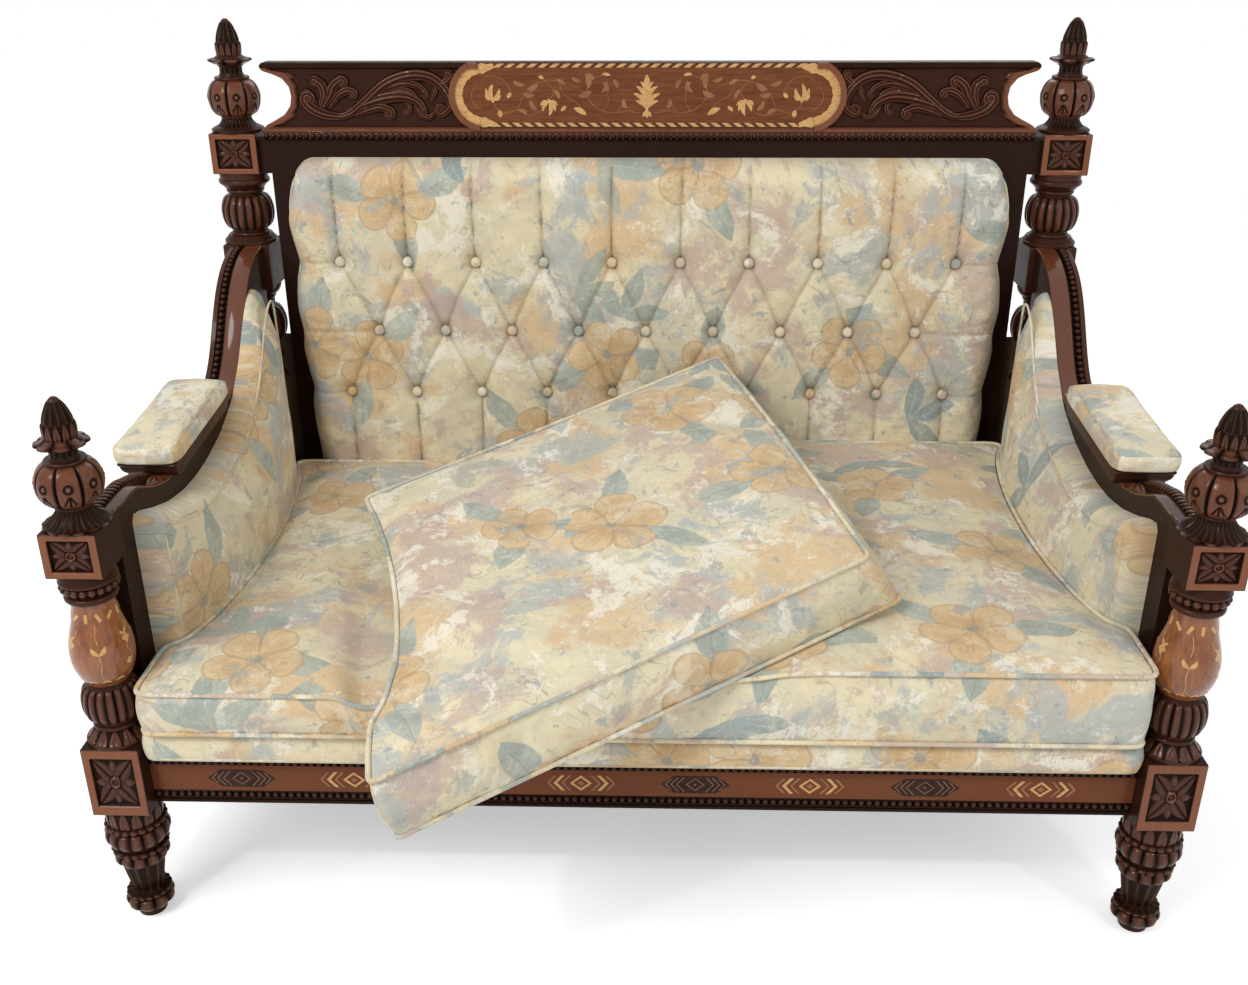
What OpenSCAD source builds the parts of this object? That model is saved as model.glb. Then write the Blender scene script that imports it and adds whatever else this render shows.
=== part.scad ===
// Carved wood sofa: turned corner posts, S-curved arms, a carved and inlaid crest,
// a tufted back, domed arm linings, a bench seat cushion and a loose cushion laid on it.
// Millimetres, +X to the right as seen from the front, +Y to the back, +Z up. A name
// that ends in left is on the -X side.

/* [Layout] */
// Distance from the centre line to the axis of each post
post_axis_x = 720; // [680:5:800]
// Distance from the front posts' axis to the back posts' axis
post_pitch_y = 840; // [820:5:900]

/* [Front posts] */
// Height of the turned leg under the lower block
leg_h = 198; // [160:1:240]
// Largest radius of the turned leg
leg_r = 45; // [36:1:48]
// Side of the square lower block
low_block_w = 80; // [78:1:92]
// Height of the square lower block
low_block_h = 110; // [100:1:130]
// Height of the inlaid column between the two blocks
front_column_h = 262; // [255:1:275]
// Largest radius of the front column
front_column_r = 42; // [34:0.5:42]
// Side of the square upper block
top_block_w = 75; // [72:1:80]
// Height of the square upper block
top_block_h = 63; // [58:1:72]
// Height of the front finial
front_finial_h = 172; // [140:1:200]
// Largest radius of the front finial
front_finial_r = 43; // [34:0.5:46]

/* [Back posts] */
// Side of the square blocks of the back post
back_block_w = 82; // [78:1:86]
// Height of the turned column under the arm block
back_low_column_h = 410; // [405:1:420]
// Height of the block that takes the arm
arm_block_h = 82; // [80:1:100]
// Height of the turned column over the arm block
back_up_column_h = 126; // [120:1:132]
// Largest radius of the back columns
back_column_r = 47; // [38:0.5:47]
// Height of the block that takes the back frame
back_top_block_h = 69; // [66:1:76]
// Height of the back finial
back_finial_h = 186; // [150:1:210]
// Largest radius of the back finial
back_finial_r = 45; // [36:0.5:47]

/* [Seat frame] */
// Height of the seat rails
rail_h = 75; // [66:1:84]
// Thickness of the seat rails
rail_t = 32; // [26:1:36]
// How far the front rail stands behind the blocks' faces
front_rail_set = 30; // [26:1:34]
// Height of the rails above the underside of the lower blocks
rail_rise = 7; // [2:1:14]
// Length of every tenon
tenon_l = 24; // [16:1:26]
// Thickness of every tenon
tenon_t = 12; // [8:0.5:14]
// Height of the inlaid strip on the front rail
strip_h = 42; // [34:1:44]
// Thickness of the inlaid strip
strip_t = 3; // [2:0.5:4]
// Number of inlaid lozenges
lozenge_count = 8; // [4:1:8]
// Distance between the lozenges
lozenge_pitch = 158; // [130:1:162]
// Length of one lozenge
lozenge_w = 96; // [60:1:110]
// Height of one lozenge
lozenge_h = 30; // [18:1:32]
// Depth of the inlay in the strip
inlay_t = 1; // [0.5:0.25:1.5]
// Width of the bead mouldings
bead_w = 11; // [8:0.5:13]
// Leg length of the corner blocks
corner_leg = 90; // [70:1:110]
// Height of the corner blocks
corner_h = 40; // [30:1:50]

/* [Arms] */
// Width of the arm from side to side
arm_w = 60; // [54:1:66]
// Drop of the arm from the front block's top to the pad's seat
pad_seat_drop = 40; // [32:1:44]
// Rise of the pad's seat from its front to its back
pad_seat_rise = 19; // [10:1:26]
// Distance from the front posts' faces to the pad's seat
pad_seat_y = 272; // [255:1:290]
// Length of the pad's seat on the arm
pad_seat_l = 253; // [220:1:265]
// Drop of the arm's underside below the pad's seat
arm_depth = 58; // [50:1:64]
// Thickness of the wooden base under the pad
pad_base_t = 21; // [14:1:26]
// Width of the wooden base under the pad
pad_base_w = 88; // [80:1:96]
// Thickness of the arm pad at its edge
pad_t = 26; // [18:1:32]
// Crown of the arm pad over its edge
pad_crown = 9; // [4:1:14]
// Width of the side rails and of the uprights under the arms
side_stile_w = 46; // [36:1:48]
// Thickness of the outside boards
side_board_t = 14; // [9:1:18]

/* [Back frame] */
// Thickness of the back frame
back_frame_t = 34; // [26:1:38]
// Width of the back frame's stiles
back_stile_w = 50; // [40:1:56]
// Gap between the stiles and the back blocks
stile_gap = 19; // [12:1:26]
// Height of the low rail of the back frame
back_rail_h = 70; // [60:1:80]
// Height of the carved crest
crest_h = 128; // [116:1:136]
// Thickness of the crest's board
crest_t = 26; // [20:1:30]
// Height of the raised border of the crest
crest_rim = 5; // [3:0.5:8]
// Radius of the hollow cut in each end of the crest
crest_cut_r = 42; // [34:1:46]
// Length of the inlaid panel of the crest
crest_panel_l = 668; // [560:2:720]
// Thickness of the board that closes the back
back_board_t = 8; // [5:1:12]

/* [Upholstery] */
// Thickness of the upholstered deck
deck_t = 50; // [40:1:56]
// Thickness of the seat cushion's right half at its edge
seat_t = 112; // [100:1:118]
// How much lower the pressed left half of the seat cushion lies
seat_sag = 46; // [20:1:54]
// Crown of the seat cushion
seat_crown = 10; // [4:1:16]
// Thickness of the arm lining at its edge
lining_t = 34; // [26:1:38]
// How far the arm lining's face domes inwards
lining_dome = 48; // [30:1:56]
// Thickness of the tufted back at its pillows
tuft_t = 58; // [50:1:62]
// Depth of the buttoned hollows
tuft_depth = 27; // [16:1:30]
// Distance between the buttons along a row
button_pitch = 121; // [110:1:123]
// Distance between the rows of buttons
button_row_pitch = 122; // [110:1:124]
// Radius of a covered button
button_r = 11; // [8:0.5:12]
// Thickness of the loose cushion
loose_t = 88; // [76:1:92]
// Length of the loose cushion's front edge
loose_front_l = 713; // [660:1:720]
// Length of the loose cushion's left edge
loose_left_l = 636; // [590:1:640]
// Turn of the loose cushion on the seat
loose_turn = 30.5; // [26:0.5:33]

/* [Hidden] */
$fn = 48;

// Clearances and overruns
soft_gap = 0.3;     // soft pieces to their neighbours
joint_gap = 0.15;   // round each tenon, dowel and screw
over = 1;           // a cut's overrun past a face

// Heights, from the floor up
low_block_top = leg_h + low_block_h;
front_block_z = low_block_top + front_column_h;
front_top_z = front_block_z + top_block_h;
arm_block_z = low_block_top + back_low_column_h;
arm_block_top = arm_block_z + arm_block_h;
back_block_z = arm_block_top + back_up_column_h;
back_top_z = back_block_z + back_top_block_h;
rail_z = leg_h + rail_rise;
rail_top = rail_z + rail_h;
web_t = 1.5;
deck_z = rail_top + 2 * web_t;
deck_top = deck_z + deck_t;
seat_z = deck_top + soft_gap;

// Depths, from the front posts' faces back
front_axis_y = low_block_w / 2;
back_axis_y = front_axis_y + post_pitch_y;
back_face_y = back_axis_y - back_block_w / 2;
low_back_face_y = back_axis_y - low_block_w / 2;
front_top_rear_y = front_axis_y + top_block_w / 2;
frame_y = back_face_y + tenon_t;
frame_rear_y = frame_y + back_frame_t;
tuft_y = frame_y - soft_gap - tuft_t;

// Widths, from the centre line out
low_block_in = post_axis_x - low_block_w / 2;
back_block_in = post_axis_x - back_block_w / 2;
arm_in = post_axis_x - arm_w / 2;
arm_out = post_axis_x + arm_w / 2;
stile_out = back_block_in - stile_gap;
stile_in = stile_out - back_stile_w;
lining_out = arm_in - soft_gap;
lining_in = lining_out - lining_t;

WOOD = [0.24, 0.10, 0.06];
RED_WOOD = [0.42, 0.19, 0.09];
INLAY = [0.80, 0.55, 0.28];
CLOTH = [0.82, 0.77, 0.62];
STEEL = [0.55, 0.55, 0.55];
LINEN = [0.30, 0.28, 0.25];

// The whole sofa is drawn with the front posts' faces at y = 0, then moved back or
// forward so that the middle of its overall depth is on the origin.
module place() { translate([0, -middle_y, 0]) children(); }
module left_side() { mirror([1, 0, 0]) children(); }
module on_side(s) { if (s > 0) children(); else left_side() children(); }

// Sum of the first i entries of a list
function head_sum(v, i) = i <= 0 ? 0 : v[i - 1] + head_sum(v, i - 1);

// Points of one cubic curve from a to d, with b and c pulling on it
function curve(a, b, c, d, steps) = [for (i = [0:steps]) let (t = i / steps, s = 1 - t)
    s * s * s * a + 3 * s * s * t * b + 3 * s * t * t * c + t * t * t * d];

// Ease from 0 to 1 as x goes from a to b
function ease(x, a, b) = let (t = min(1, max(0, (x - a) / (b - a)))) t * t * (3 - 2 * t);

// A turned piece. Each member is [height part, radius share at its foot, radius share
// at its head, swell share]: the swell bows the member out, or in if it is negative.
function member_r(m, t) = m[1] + (m[2] - m[1]) * t + m[3] * sin(180 * t);
function member_pts(m, z0, h, r) = let (steps = m[3] == 0 ? 1 : 8)
    [for (i = [0:steps]) [member_r(m, i / steps) * r, z0 + h * i / steps]];
module turned(h, r, members) {
    parts = [for (m = members) m[0]];
    whole = head_sum(parts, len(parts));
    pts = [for (k = [0:len(members) - 1])
        each member_pts(members[k], h * head_sum(parts, k) / whole, h * parts[k] / whole, r)];
    rotate_extrude() polygon(concat([[0, 0]], pts, [[0, h]]));
}

leg_member_shares = [[14, 0.44, 0.49, 0], [9, 0.49, 0.60, 0], [19, 0.60, 0.60, 0.13],
    [6, 0.55, 0.48, 0], [50, 0.48, 0.64, 0], [6, 0.69, 0.73, 0], [20, 0.73, 0.73, 0.10],
    [5, 0.80, 0.84, 0], [34, 0.89, 0.89, 0.11], [5, 0.82, 0.82, 0], [30, 0.84, 0.84, 0.04]];
front_column_member_shares = [[8, 0.93, 0.93, 0], [12, 0.90, 0.76, 0], [50, 0.74, 0.76, 0.21],
    [8, 0.79, 0.64, 0], [107, 0.64, 0.64, 0.36], [13, 0.64, 0.70, 0], [8, 0.70, 0.83, 0],
    [30, 0.93, 0.93, 0.05], [26, 0.86, 0.84, 0]];
back_low_member_shares = [[10, 0.90, 0.90, 0], [14, 0.80, 0.64, 0], [60, 0.64, 0.64, 0.28],
    [10, 0.68, 0.55, 0], [130, 0.55, 0.55, 0.16], [12, 0.60, 0.75, 0], [16, 0.85, 0.85, 0.08],
    [26, 0.60, 0.55, 0], [22, 0.74, 0.74, 0.14], [14, 0.62, 0.58, 0], [72, 0.58, 0.58, 0.38],
    [12, 0.58, 0.62, 0], [12, 0.95, 0.95, 0.04]];
back_up_member_shares = [[6, 1, 1, 0], [16, 0.94, 0.63, 0], [64, 0.62, 0.60, 0.37],
    [6, 0.60, 0.62, 0], [14, 0.63, 0.90, 0], [14, 0.90, 0.90, 0.04], [6, 0.85, 0.85, 0]];
finial_member_shares = [[3, 1, 1, 0], [15, 0.93, 0.62, -0.08], [4, 0.62, 0.55, 0],
    [58, 0.54, 0.53, 0.45], [4, 0.53, 0.38, 0], [7, 0.42, 0.58, 0.04], [10, 0.46, 0.40, 0],
    [7, 0.42, 0.72, 0], [5, 0.74, 0.81, 0], [4, 0.78, 0.50, 0], [26, 0.50, 0.48, 0.03],
    [29, 0.48, 0.05, 0.08]];

// A square block with a carved flower sunk in its front face: four petals to the
// corners, a bud between each two and a round boss. Its front face is at y = 0.
petal_h = 3;
petal_t = 2.5;
module petal(length, width) {
    // two arcs that meet at both tips
    r = (length * length / 4 + width * width / 4) / width;
    linear_extrude(petal_t) translate([length / 2, 0]) intersection() {
        translate([0, r - width / 2]) circle(r);
        translate([0, width / 2 - r]) circle(r);
    }
}
module carved_block(w, h) {
    border = w / 9;
    field_w = w - 2 * border;
    field_h = h - 2 * border;
    long_petal = sqrt(field_w * field_w + field_h * field_h) / 2 - border / 2;
    slope = atan2(field_h, field_w);
    difference() {
        translate([-w / 2, 0, 0]) cube([w, w, h]);
        translate([-field_w / 2, -over, border]) cube([field_w, petal_h + over, field_h]);
    }
    translate([0, petal_h, h / 2]) rotate([90, 0, 0]) {
        for (a = [slope, 180 - slope, 180 + slope, -slope]) rotate(a) petal(long_petal, w / 6);
        for (s = [-1, 1]) {
            translate([s * (field_w / 2 - border), 0, 0]) cylinder(h = petal_t, r = border / 2);
            translate([0, s * (field_h / 2 - border), 0]) cylinder(h = petal_t, r = border / 2);
        }
        cylinder(h = petal_h, r = border);
    }
}

// Mortises and bores of the posts
rail_tenon_h = rail_h - 2 * tenon_t;
rail_tenon_z = rail_z + tenon_t;
dowel_r = 9;
dowel_l = 24;
module slot(size) { translate(-[joint_gap, joint_gap, joint_gap])
    cube(size + 2 * [joint_gap, joint_gap, joint_gap]); }
module finial_bore(top_z) {
    translate([0, 0, top_z - dowel_l]) cylinder(h = dowel_l + over, r = dowel_r + joint_gap);
}

// Tenon places, shared by rails and posts. Each is [corner, size].
front_tenon = [[low_block_in, front_rail_set + (rail_t - tenon_t) / 2, rail_tenon_z],
    [tenon_l, tenon_t, rail_tenon_h]];
side_tenon_x = arm_in + (side_stile_w - tenon_t) / 2;
side_front_tenon = [[side_tenon_x, low_block_w - tenon_l + over, rail_tenon_z],
    [tenon_t, tenon_l - over, rail_tenon_h]];
back_rail_y = back_axis_y - rail_t / 2;
back_tenon = [[low_block_in, back_rail_y + (rail_t - tenon_t) / 2, rail_tenon_z],
    [tenon_l, tenon_t, rail_tenon_h]];
side_back_tenon = [[side_tenon_x, low_back_face_y, rail_tenon_z],
    [tenon_t, tenon_l / 2, rail_tenon_h]];
arm_tenon_x = post_axis_x - tenon_t / 2;
arm_front_tenon = [[arm_tenon_x, front_top_rear_y - tenon_l, front_block_z + tenon_t],
    [tenon_t, tenon_l, top_block_h - 2 * tenon_t]];
arm_back_tenon = [[arm_tenon_x, back_face_y, arm_block_z + 2 * tenon_t],
    [tenon_t, tenon_l, arm_block_h - 3 * tenon_t]];
top_rail_drop = 11;  // from the back blocks' tops down to the top rail's top
top_rail_top = back_top_z - top_rail_drop;
top_rail_z = back_block_z;
top_tenon = [[back_block_in, frame_y + (back_frame_t - tenon_t) / 2, back_block_z + tenon_t],
    [tenon_l, tenon_t, back_top_block_h - 3 * tenon_t]];
module tenon(t) { translate(t[0]) cube(t[1]); }
module mortise(t) { translate(t[0]) slot(t[1]); }

// The heart of the one turned piece: from the middle of the leg up into the top block
core_r = leg_r / 3;
module core(block_z) { translate([0, 0, leg_h / 2]) cylinder(r = core_r, h = block_z + core_r - leg_h / 2); }

module front_post() { color(WOOD) place() difference() {
    union() {
        translate([post_axis_x, front_axis_y, 0]) core(front_block_z);
        translate([post_axis_x, front_axis_y, 0]) turned(leg_h, leg_r, leg_member_shares);
        translate([post_axis_x, 0, leg_h]) carved_block(low_block_w, low_block_h);
        translate([post_axis_x, front_axis_y, low_block_top])
            turned(front_column_h, front_column_r, front_column_member_shares);
        translate([post_axis_x, front_axis_y - top_block_w / 2, front_block_z])
            carved_block(top_block_w, top_block_h);
    }
    mortise(front_tenon);
    mortise(side_front_tenon);
    mortise(arm_front_tenon);
    translate([post_axis_x, front_axis_y, 0]) finial_bore(front_top_z);
} }

module back_post() { color(WOOD) place() difference() {
    union() {
        translate([post_axis_x, back_axis_y, 0]) core(back_block_z);
        translate([post_axis_x, back_axis_y, 0]) turned(leg_h, leg_r, leg_member_shares);
        translate([low_block_in, low_back_face_y, leg_h])
            cube([low_block_w, low_block_w, low_block_h]);
        translate([post_axis_x, back_axis_y, low_block_top])
            turned(back_low_column_h, back_column_r, back_low_member_shares);
        translate([back_block_in, back_face_y, arm_block_z])
            cube([back_block_w, back_block_w, arm_block_h]);
        translate([post_axis_x, back_axis_y, arm_block_top])
            turned(back_up_column_h, back_column_r, back_up_member_shares);
        translate([post_axis_x, back_face_y, back_block_z])
            carved_block(back_block_w, back_top_block_h);
    }
    mortise(back_tenon);
    mortise(side_back_tenon);
    mortise(arm_back_tenon);
    mortise(top_tenon);
    translate([post_axis_x, back_axis_y, 0]) finial_bore(back_top_z);
} }

// A finial with its dowel below
module finial(axis_y, top_z, h, r) { color(WOOD) place() translate([post_axis_x, axis_y, top_z]) {
    turned(h, r, finial_member_shares);
    translate([0, 0, -dowel_l + over]) cylinder(h = dowel_l, r = dowel_r);
} }

module front_rail() { color(RED_WOOD) place() difference() {
    union() {
        translate([-low_block_in, front_rail_set, rail_z])
            cube([2 * low_block_in, rail_t, rail_h]);
        tenon(front_tenon);
        left_side() tenon(front_tenon);
    }
    for (s = [-1, 1]) corner_screw_holes(s, 1);
} }
module back_rail() { color(WOOD) place() difference() {
    union() {
        translate([-low_block_in, back_rail_y, rail_z]) cube([2 * low_block_in, rail_t, rail_h]);
        tenon(back_tenon);
        left_side() tenon(back_tenon);
    }
    for (s = [-1, 1]) corner_screw_holes(s, -1);
} }
module side_rail() { color(WOOD) place() {
    translate([arm_in, low_block_w, rail_z])
        cube([side_stile_w, low_back_face_y - low_block_w, rail_h]);
    tenon(side_front_tenon);
    tenon(side_back_tenon);
} }

// Inlaid strip and bead mouldings on the front rail
strip_z = rail_z + rail_h - bead_w - strip_h - bead_w / 4;
strip_l = 2 * low_block_in - 2 * soft_gap;
module lozenges(extra) {
    for (i = [0:lozenge_count - 1])
        translate([(i - (lozenge_count - 1) / 2) * lozenge_pitch,
            front_rail_set - strip_t - extra, strip_z + strip_h / 2])
            rotate([-90, 0, 0]) linear_extrude(inlay_t + extra) polygon([
                [-lozenge_w / 2, 0], [-lozenge_w / 4, lozenge_h / 2], [lozenge_w / 4, lozenge_h / 2],
                [lozenge_w / 2, 0], [lozenge_w / 4, -lozenge_h / 2], [-lozenge_w / 4, -lozenge_h / 2]]);
}
module front_rail_strip() { color(RED_WOOD) place() difference() {
    translate([-strip_l / 2, front_rail_set - strip_t, strip_z]) cube([strip_l, strip_t, strip_h]);
    lozenges(over);
} }
module front_rail_inlays() { color(INLAY) place() intersection() {
    lozenges(0);
    translate([-strip_l / 2, front_rail_set - strip_t, strip_z]) cube([strip_l, inlay_t, strip_h]);
} }
// Half-round bead along X with its flat back at y
module bead(length, y, z) {
    translate([-length / 2, y, z]) rotate([0, 90, 0]) intersection() {
        cylinder(h = length, r = bead_w / 2);
        translate([-bead_w / 2, -bead_w, 0]) cube([bead_w, bead_w, length]);
    }
}
module front_bead(z) { color(WOOD) place() bead(strip_l, front_rail_set, z); }

// Corner blocks across the inner corners of the seat frame, screwed to the long rails
corner_z = rail_z + (rail_h - corner_h) / 2;
corner_front_y = front_rail_set + rail_t;
corner_back_y = back_rail_y;
screw_r = 2.5;
screw_head_r = 5;
screw_head_h = 3;
screw_l = 45;
screw_in = 17;
// The block is the corner's triangle less the post that stands in the corner.
module corner_block_front() {
    linear_extrude(corner_h) polygon([[arm_in - corner_leg, corner_front_y],
        [low_block_in, corner_front_y], [low_block_in, low_block_w], [arm_in, low_block_w],
        [arm_in, corner_front_y + corner_leg]]);
}
module corner_block_back() {
    linear_extrude(corner_h) polygon([[arm_in - corner_leg, corner_back_y],
        [low_block_in, corner_back_y], [low_block_in, low_back_face_y], [arm_in, low_back_face_y],
        [arm_in, corner_back_y - corner_leg]]);
}
// Screws run along Y: end 1 is the front, end -1 the back
screw_x = arm_in - corner_leg / 2;
module corner_screw(side, end, r, head_r) {
    face_y = end > 0 ? corner_front_y : corner_back_y;
    for (z = [corner_h / 4, 3 * corner_h / 4])
        translate([side * screw_x, face_y - end * screw_in, corner_z + z])
            rotate([-90 * end, 0, 0]) {
                cylinder(h = screw_l, r = r);
                translate([0, 0, screw_l - screw_head_h]) cylinder(h = screw_head_h, r = head_r);
            }
}
module corner_screw_holes(side, end) {
    corner_screw(side, end, screw_r + joint_gap, screw_head_r + joint_gap);
}
module corner_blocks() { color(RED_WOOD) place() for (s = [-1, 1]) difference() {
    on_side(s) translate([0, 0, corner_z]) { corner_block_front(); corner_block_back(); }
    for (e = [-1, 1]) corner_screw_well(s, e);
} }
// A hole for the shank and a well that lets the head down into the block
module corner_screw_well(side, end) {
    face_y = end > 0 ? corner_front_y : corner_back_y;
    corner_screw_holes(side, end);
    for (z = [corner_h / 4, 3 * corner_h / 4])
        translate([side * screw_x, face_y + end * (screw_l - screw_in - screw_head_h), corner_z + z])
            rotate([-90 * end, 0, 0]) cylinder(h = corner_leg, r = screw_head_r + joint_gap);
}
module corner_screws() { color(STEEL) place() for (s = [-1, 1]) for (e = [-1, 1])
    corner_screw(s, e, screw_r, screw_head_r); }

cover_t = 1;
module dust_cover() { color(LINEN) place()
    translate([-arm_in - rail_t / 2, front_rail_set + rail_t / 4, rail_z - cover_t]) difference() {
        cube([2 * arm_in + rail_t, back_rail_y + rail_t / 2 - front_rail_set, cover_t]);
        for (x = [-over, 2 * arm_in + rail_t - 2 * rail_t]) {
            translate([x, -over, -over]) cube([2 * rail_t + over, 3 * rail_t / 2 + over, cover_t + 2 * over]);
            translate([x, back_rail_y - front_rail_set - rail_t, -over])
                cube([2 * rail_t + over, 3 * rail_t, cover_t + 2 * over]);
        }
    }
}

// Webbing: a layer of straps from front to back under a layer from side to side
strap_w = 60;
long_straps = 5;
cross_straps = 9;
module seat_webbing() { color(LINEN) place() {
    for (i = [0:cross_straps - 1])
        translate([(i - (cross_straps - 1) / 2) * 2 * stile_in / cross_straps - strap_w / 2,
            front_rail_set + rail_t / 4, rail_top])
            cube([strap_w, back_rail_y + rail_t / 2 - front_rail_set, web_t]);
    for (i = [0:long_straps - 1])
        translate([-arm_in - side_stile_w / 2,
            low_block_w + strap_w + (i + 0.5) * (low_back_face_y - low_block_w - 2 * strap_w) / long_straps
                - strap_w / 2, rail_top + web_t])
            cube([2 * arm_in + side_stile_w, strap_w, web_t]);
} }

// Arm, seen from the side as points [y, z]: a hump behind the front block, a flat seat
// for the pad, then an S up to the block on the back post. The pulls say how far each
// curve's handles reach, as shares of its own run and rise.
pad_seat_z = front_top_z - pad_seat_drop;
pad_rear = [pad_seat_y + pad_seat_l, pad_seat_z + pad_seat_rise];
arm_under_z = pad_seat_z - arm_depth;
front_stile_y = front_axis_y + max(front_column_r, low_block_w / 2) + over;
rear_stile_y = back_axis_y - back_column_r - over - side_stile_w;
under_rear_z = arm_block_z + tenon_t / 2;
front_flat_y = front_stile_y + side_stile_w;
hump_pull_shares = [[0.32, 0.35], [0.29, 0.75]];
s_pull_shares = [[0.52, -0.12], [0.57, 0.05]];
under_rear_pull_shares = [[0.22, 0.03], [0.90, 0]];
under_front_pull_shares = [[0.58, 0], [0.14, 0]];
hump_l = pad_seat_y - front_top_rear_y;
s_run = back_face_y - pad_rear[0];
s_rise = arm_block_top - pad_rear[1];
hump_drop = 6;       // the hump starts this far below the block's top, clear of the finial
hump = curve([front_top_rear_y, front_top_z - hump_drop],
    [front_top_rear_y + hump_pull_shares[0][0] * hump_l, front_top_z + hump_pull_shares[0][1] * top_block_h],
    [pad_seat_y - hump_pull_shares[1][0] * hump_l, pad_seat_z + hump_pull_shares[1][1] * top_block_h],
    [pad_seat_y, pad_seat_z], 12);
s_line = curve(pad_rear,
    pad_rear + [s_pull_shares[0][0] * s_run, s_pull_shares[0][1] * s_rise],
    [back_face_y - s_pull_shares[1][0] * s_run, arm_block_top - s_pull_shares[1][1] * s_rise],
    [back_face_y, arm_block_top], 16);
under_rear_run = rear_stile_y - pad_rear[0];
under_rear = curve([rear_stile_y, under_rear_z],
    [rear_stile_y - under_rear_pull_shares[0][0] * under_rear_run,
        under_rear_z - under_rear_pull_shares[0][1] * (under_rear_z - arm_under_z)],
    [pad_rear[0] + under_rear_pull_shares[1][0] * under_rear_run, arm_under_z],
    [pad_rear[0], arm_under_z], 14);
under_front_run = pad_seat_y - front_flat_y;
under_front = curve([pad_seat_y, arm_under_z],
    [pad_seat_y - under_front_pull_shares[0][0] * under_front_run, arm_under_z],
    [front_flat_y + (1 - under_front_pull_shares[1][0]) * under_front_run / 2, front_block_z],
    [front_flat_y, front_block_z], 8);
arm_under = concat(under_rear, under_front);

// Extrude an outline given as points [y, z] from x = x0 to x = x1
module side_slice(x0, x1, pts) {
    translate([x0, 0, 0]) rotate([90, 0, 90]) linear_extrude(x1 - x0) polygon(pts);
}
module arm() { color(WOOD) place() {
    side_slice(arm_in, arm_out, concat(hump, s_line, [[back_face_y, under_rear_z]], arm_under,
        [[front_top_rear_y, front_block_z]]));
    tenon(arm_front_tenon);
    tenon(arm_back_tenon);
} }
// A band of height h that follows a line of points [y, z] on its outer side
function normal(pts, i) = let (a = pts[max(0, i - 1)], b = pts[min(len(pts) - 1, i + 1)],
    d = (b - a) / norm(b - a)) [-d[1], d[0]];
function band(pts, h) = concat(pts, [for (i = [len(pts) - 1:-1:0]) pts[i] + h * normal(pts, i)]);
function slice_list(v, a, b) = [for (i = [a:b]) v[i]];
bead_h = bead_w / 2;
s_bead_first = 4;     // points of the S and of the hump between which the rows run
s_bead_last = 15;
rope_first = 1;
rope_last = 10;
module arm_beads() { color(WOOD) place() {
    // the bead row on the outer third of the S, clear of the pad and of the back block
    side_slice(arm_out - 2 * bead_w, arm_out - bead_w,
        band(slice_list(s_line, s_bead_first, s_bead_last), bead_h));
    // the rope along the outer edge of the hump
    side_slice(arm_out - bead_w, arm_out, band(slice_list(hump, rope_first, rope_last), bead_h));
} }

// Pad base: a slanted board on the arm's flat, wider than the arm
base_in = post_axis_x - pad_base_w / 2 + over;
module arm_pad_base() { color(WOOD) place()
    side_slice(base_in, base_in + pad_base_w, [[pad_seat_y, pad_seat_z], pad_rear,
        pad_rear + [0, pad_base_t], [pad_seat_y, pad_seat_z + pad_base_t]]);
}

module side_stiles() { color(WOOD) place() {
    translate([arm_in, front_stile_y, rail_top])
        cube([side_stile_w, side_stile_w, front_block_z - rail_top]);
    translate([arm_in, rear_stile_y, rail_top])
        cube([side_stile_w, side_stile_w, under_rear_z - rail_top]);
} }
module side_board() { color(WOOD) place()
    side_slice(arm_in + side_stile_w - side_board_t, arm_in + side_stile_w,
        concat([[front_flat_y, rail_top], [rear_stile_y, rail_top]], arm_under));
}

// Back frame: stiles on the back rail, a low rail between them, a top rail tenoned into
// the back posts, and the board that closes it
module back_stile() { color(WOOD) place() translate([stile_in, frame_y, rail_top])
    cube([back_stile_w, back_frame_t, top_rail_z - rail_top]);
}
module back_low_rail() { color(WOOD) place() translate([-stile_in, frame_y, deck_top])
    cube([2 * stile_in, back_frame_t, back_rail_h]);
}
dowel_places = [-stile_in, -stile_in / 3, stile_in / 3, stile_in];
crest_dowel_r = 5;
crest_dowel_l = 50;
crest_y = frame_y + crest_rim;
module crest_dowel_row(r, l) {
    for (x = dowel_places) translate([x, crest_y + crest_t / 2, top_rail_top - l / 2])
        cylinder(h = l, r = r);
}
module back_top_rail() { color(WOOD) place() difference() {
    union() {
        translate([-back_block_in, frame_y, top_rail_z])
            cube([2 * back_block_in, back_frame_t, top_rail_top - top_rail_z]);
        tenon(top_tenon);
        left_side() tenon(top_tenon);
    }
    crest_dowel_row(crest_dowel_r + joint_gap, crest_dowel_l);
} }
module back_board() { color(WOOD) place() translate([-stile_out, frame_rear_y, deck_top])
    cube([2 * stile_out, back_board_t, (top_rail_z + top_rail_top) / 2 - deck_top]);
}

// Crest: a board with a raised border and a hollow cut in each end
crest_z = top_rail_top;
crest_top = crest_z + crest_h;
crest_foot = bead_w + 2 * crest_rim;
crest_half = back_block_in - bead_w;
module crest_outline(inset) {
    difference() {
        translate([-crest_half + inset, crest_z + (inset > 0 ? crest_foot : 0)])
            square([2 * (crest_half - inset), crest_h - inset - (inset > 0 ? crest_foot : 0)]);
        for (s = [-1, 1])
            translate([s * (crest_half - crest_cut_r / 3), crest_top - 4 * crest_cut_r / 3])
                circle(crest_cut_r + inset);
    }
}
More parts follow.
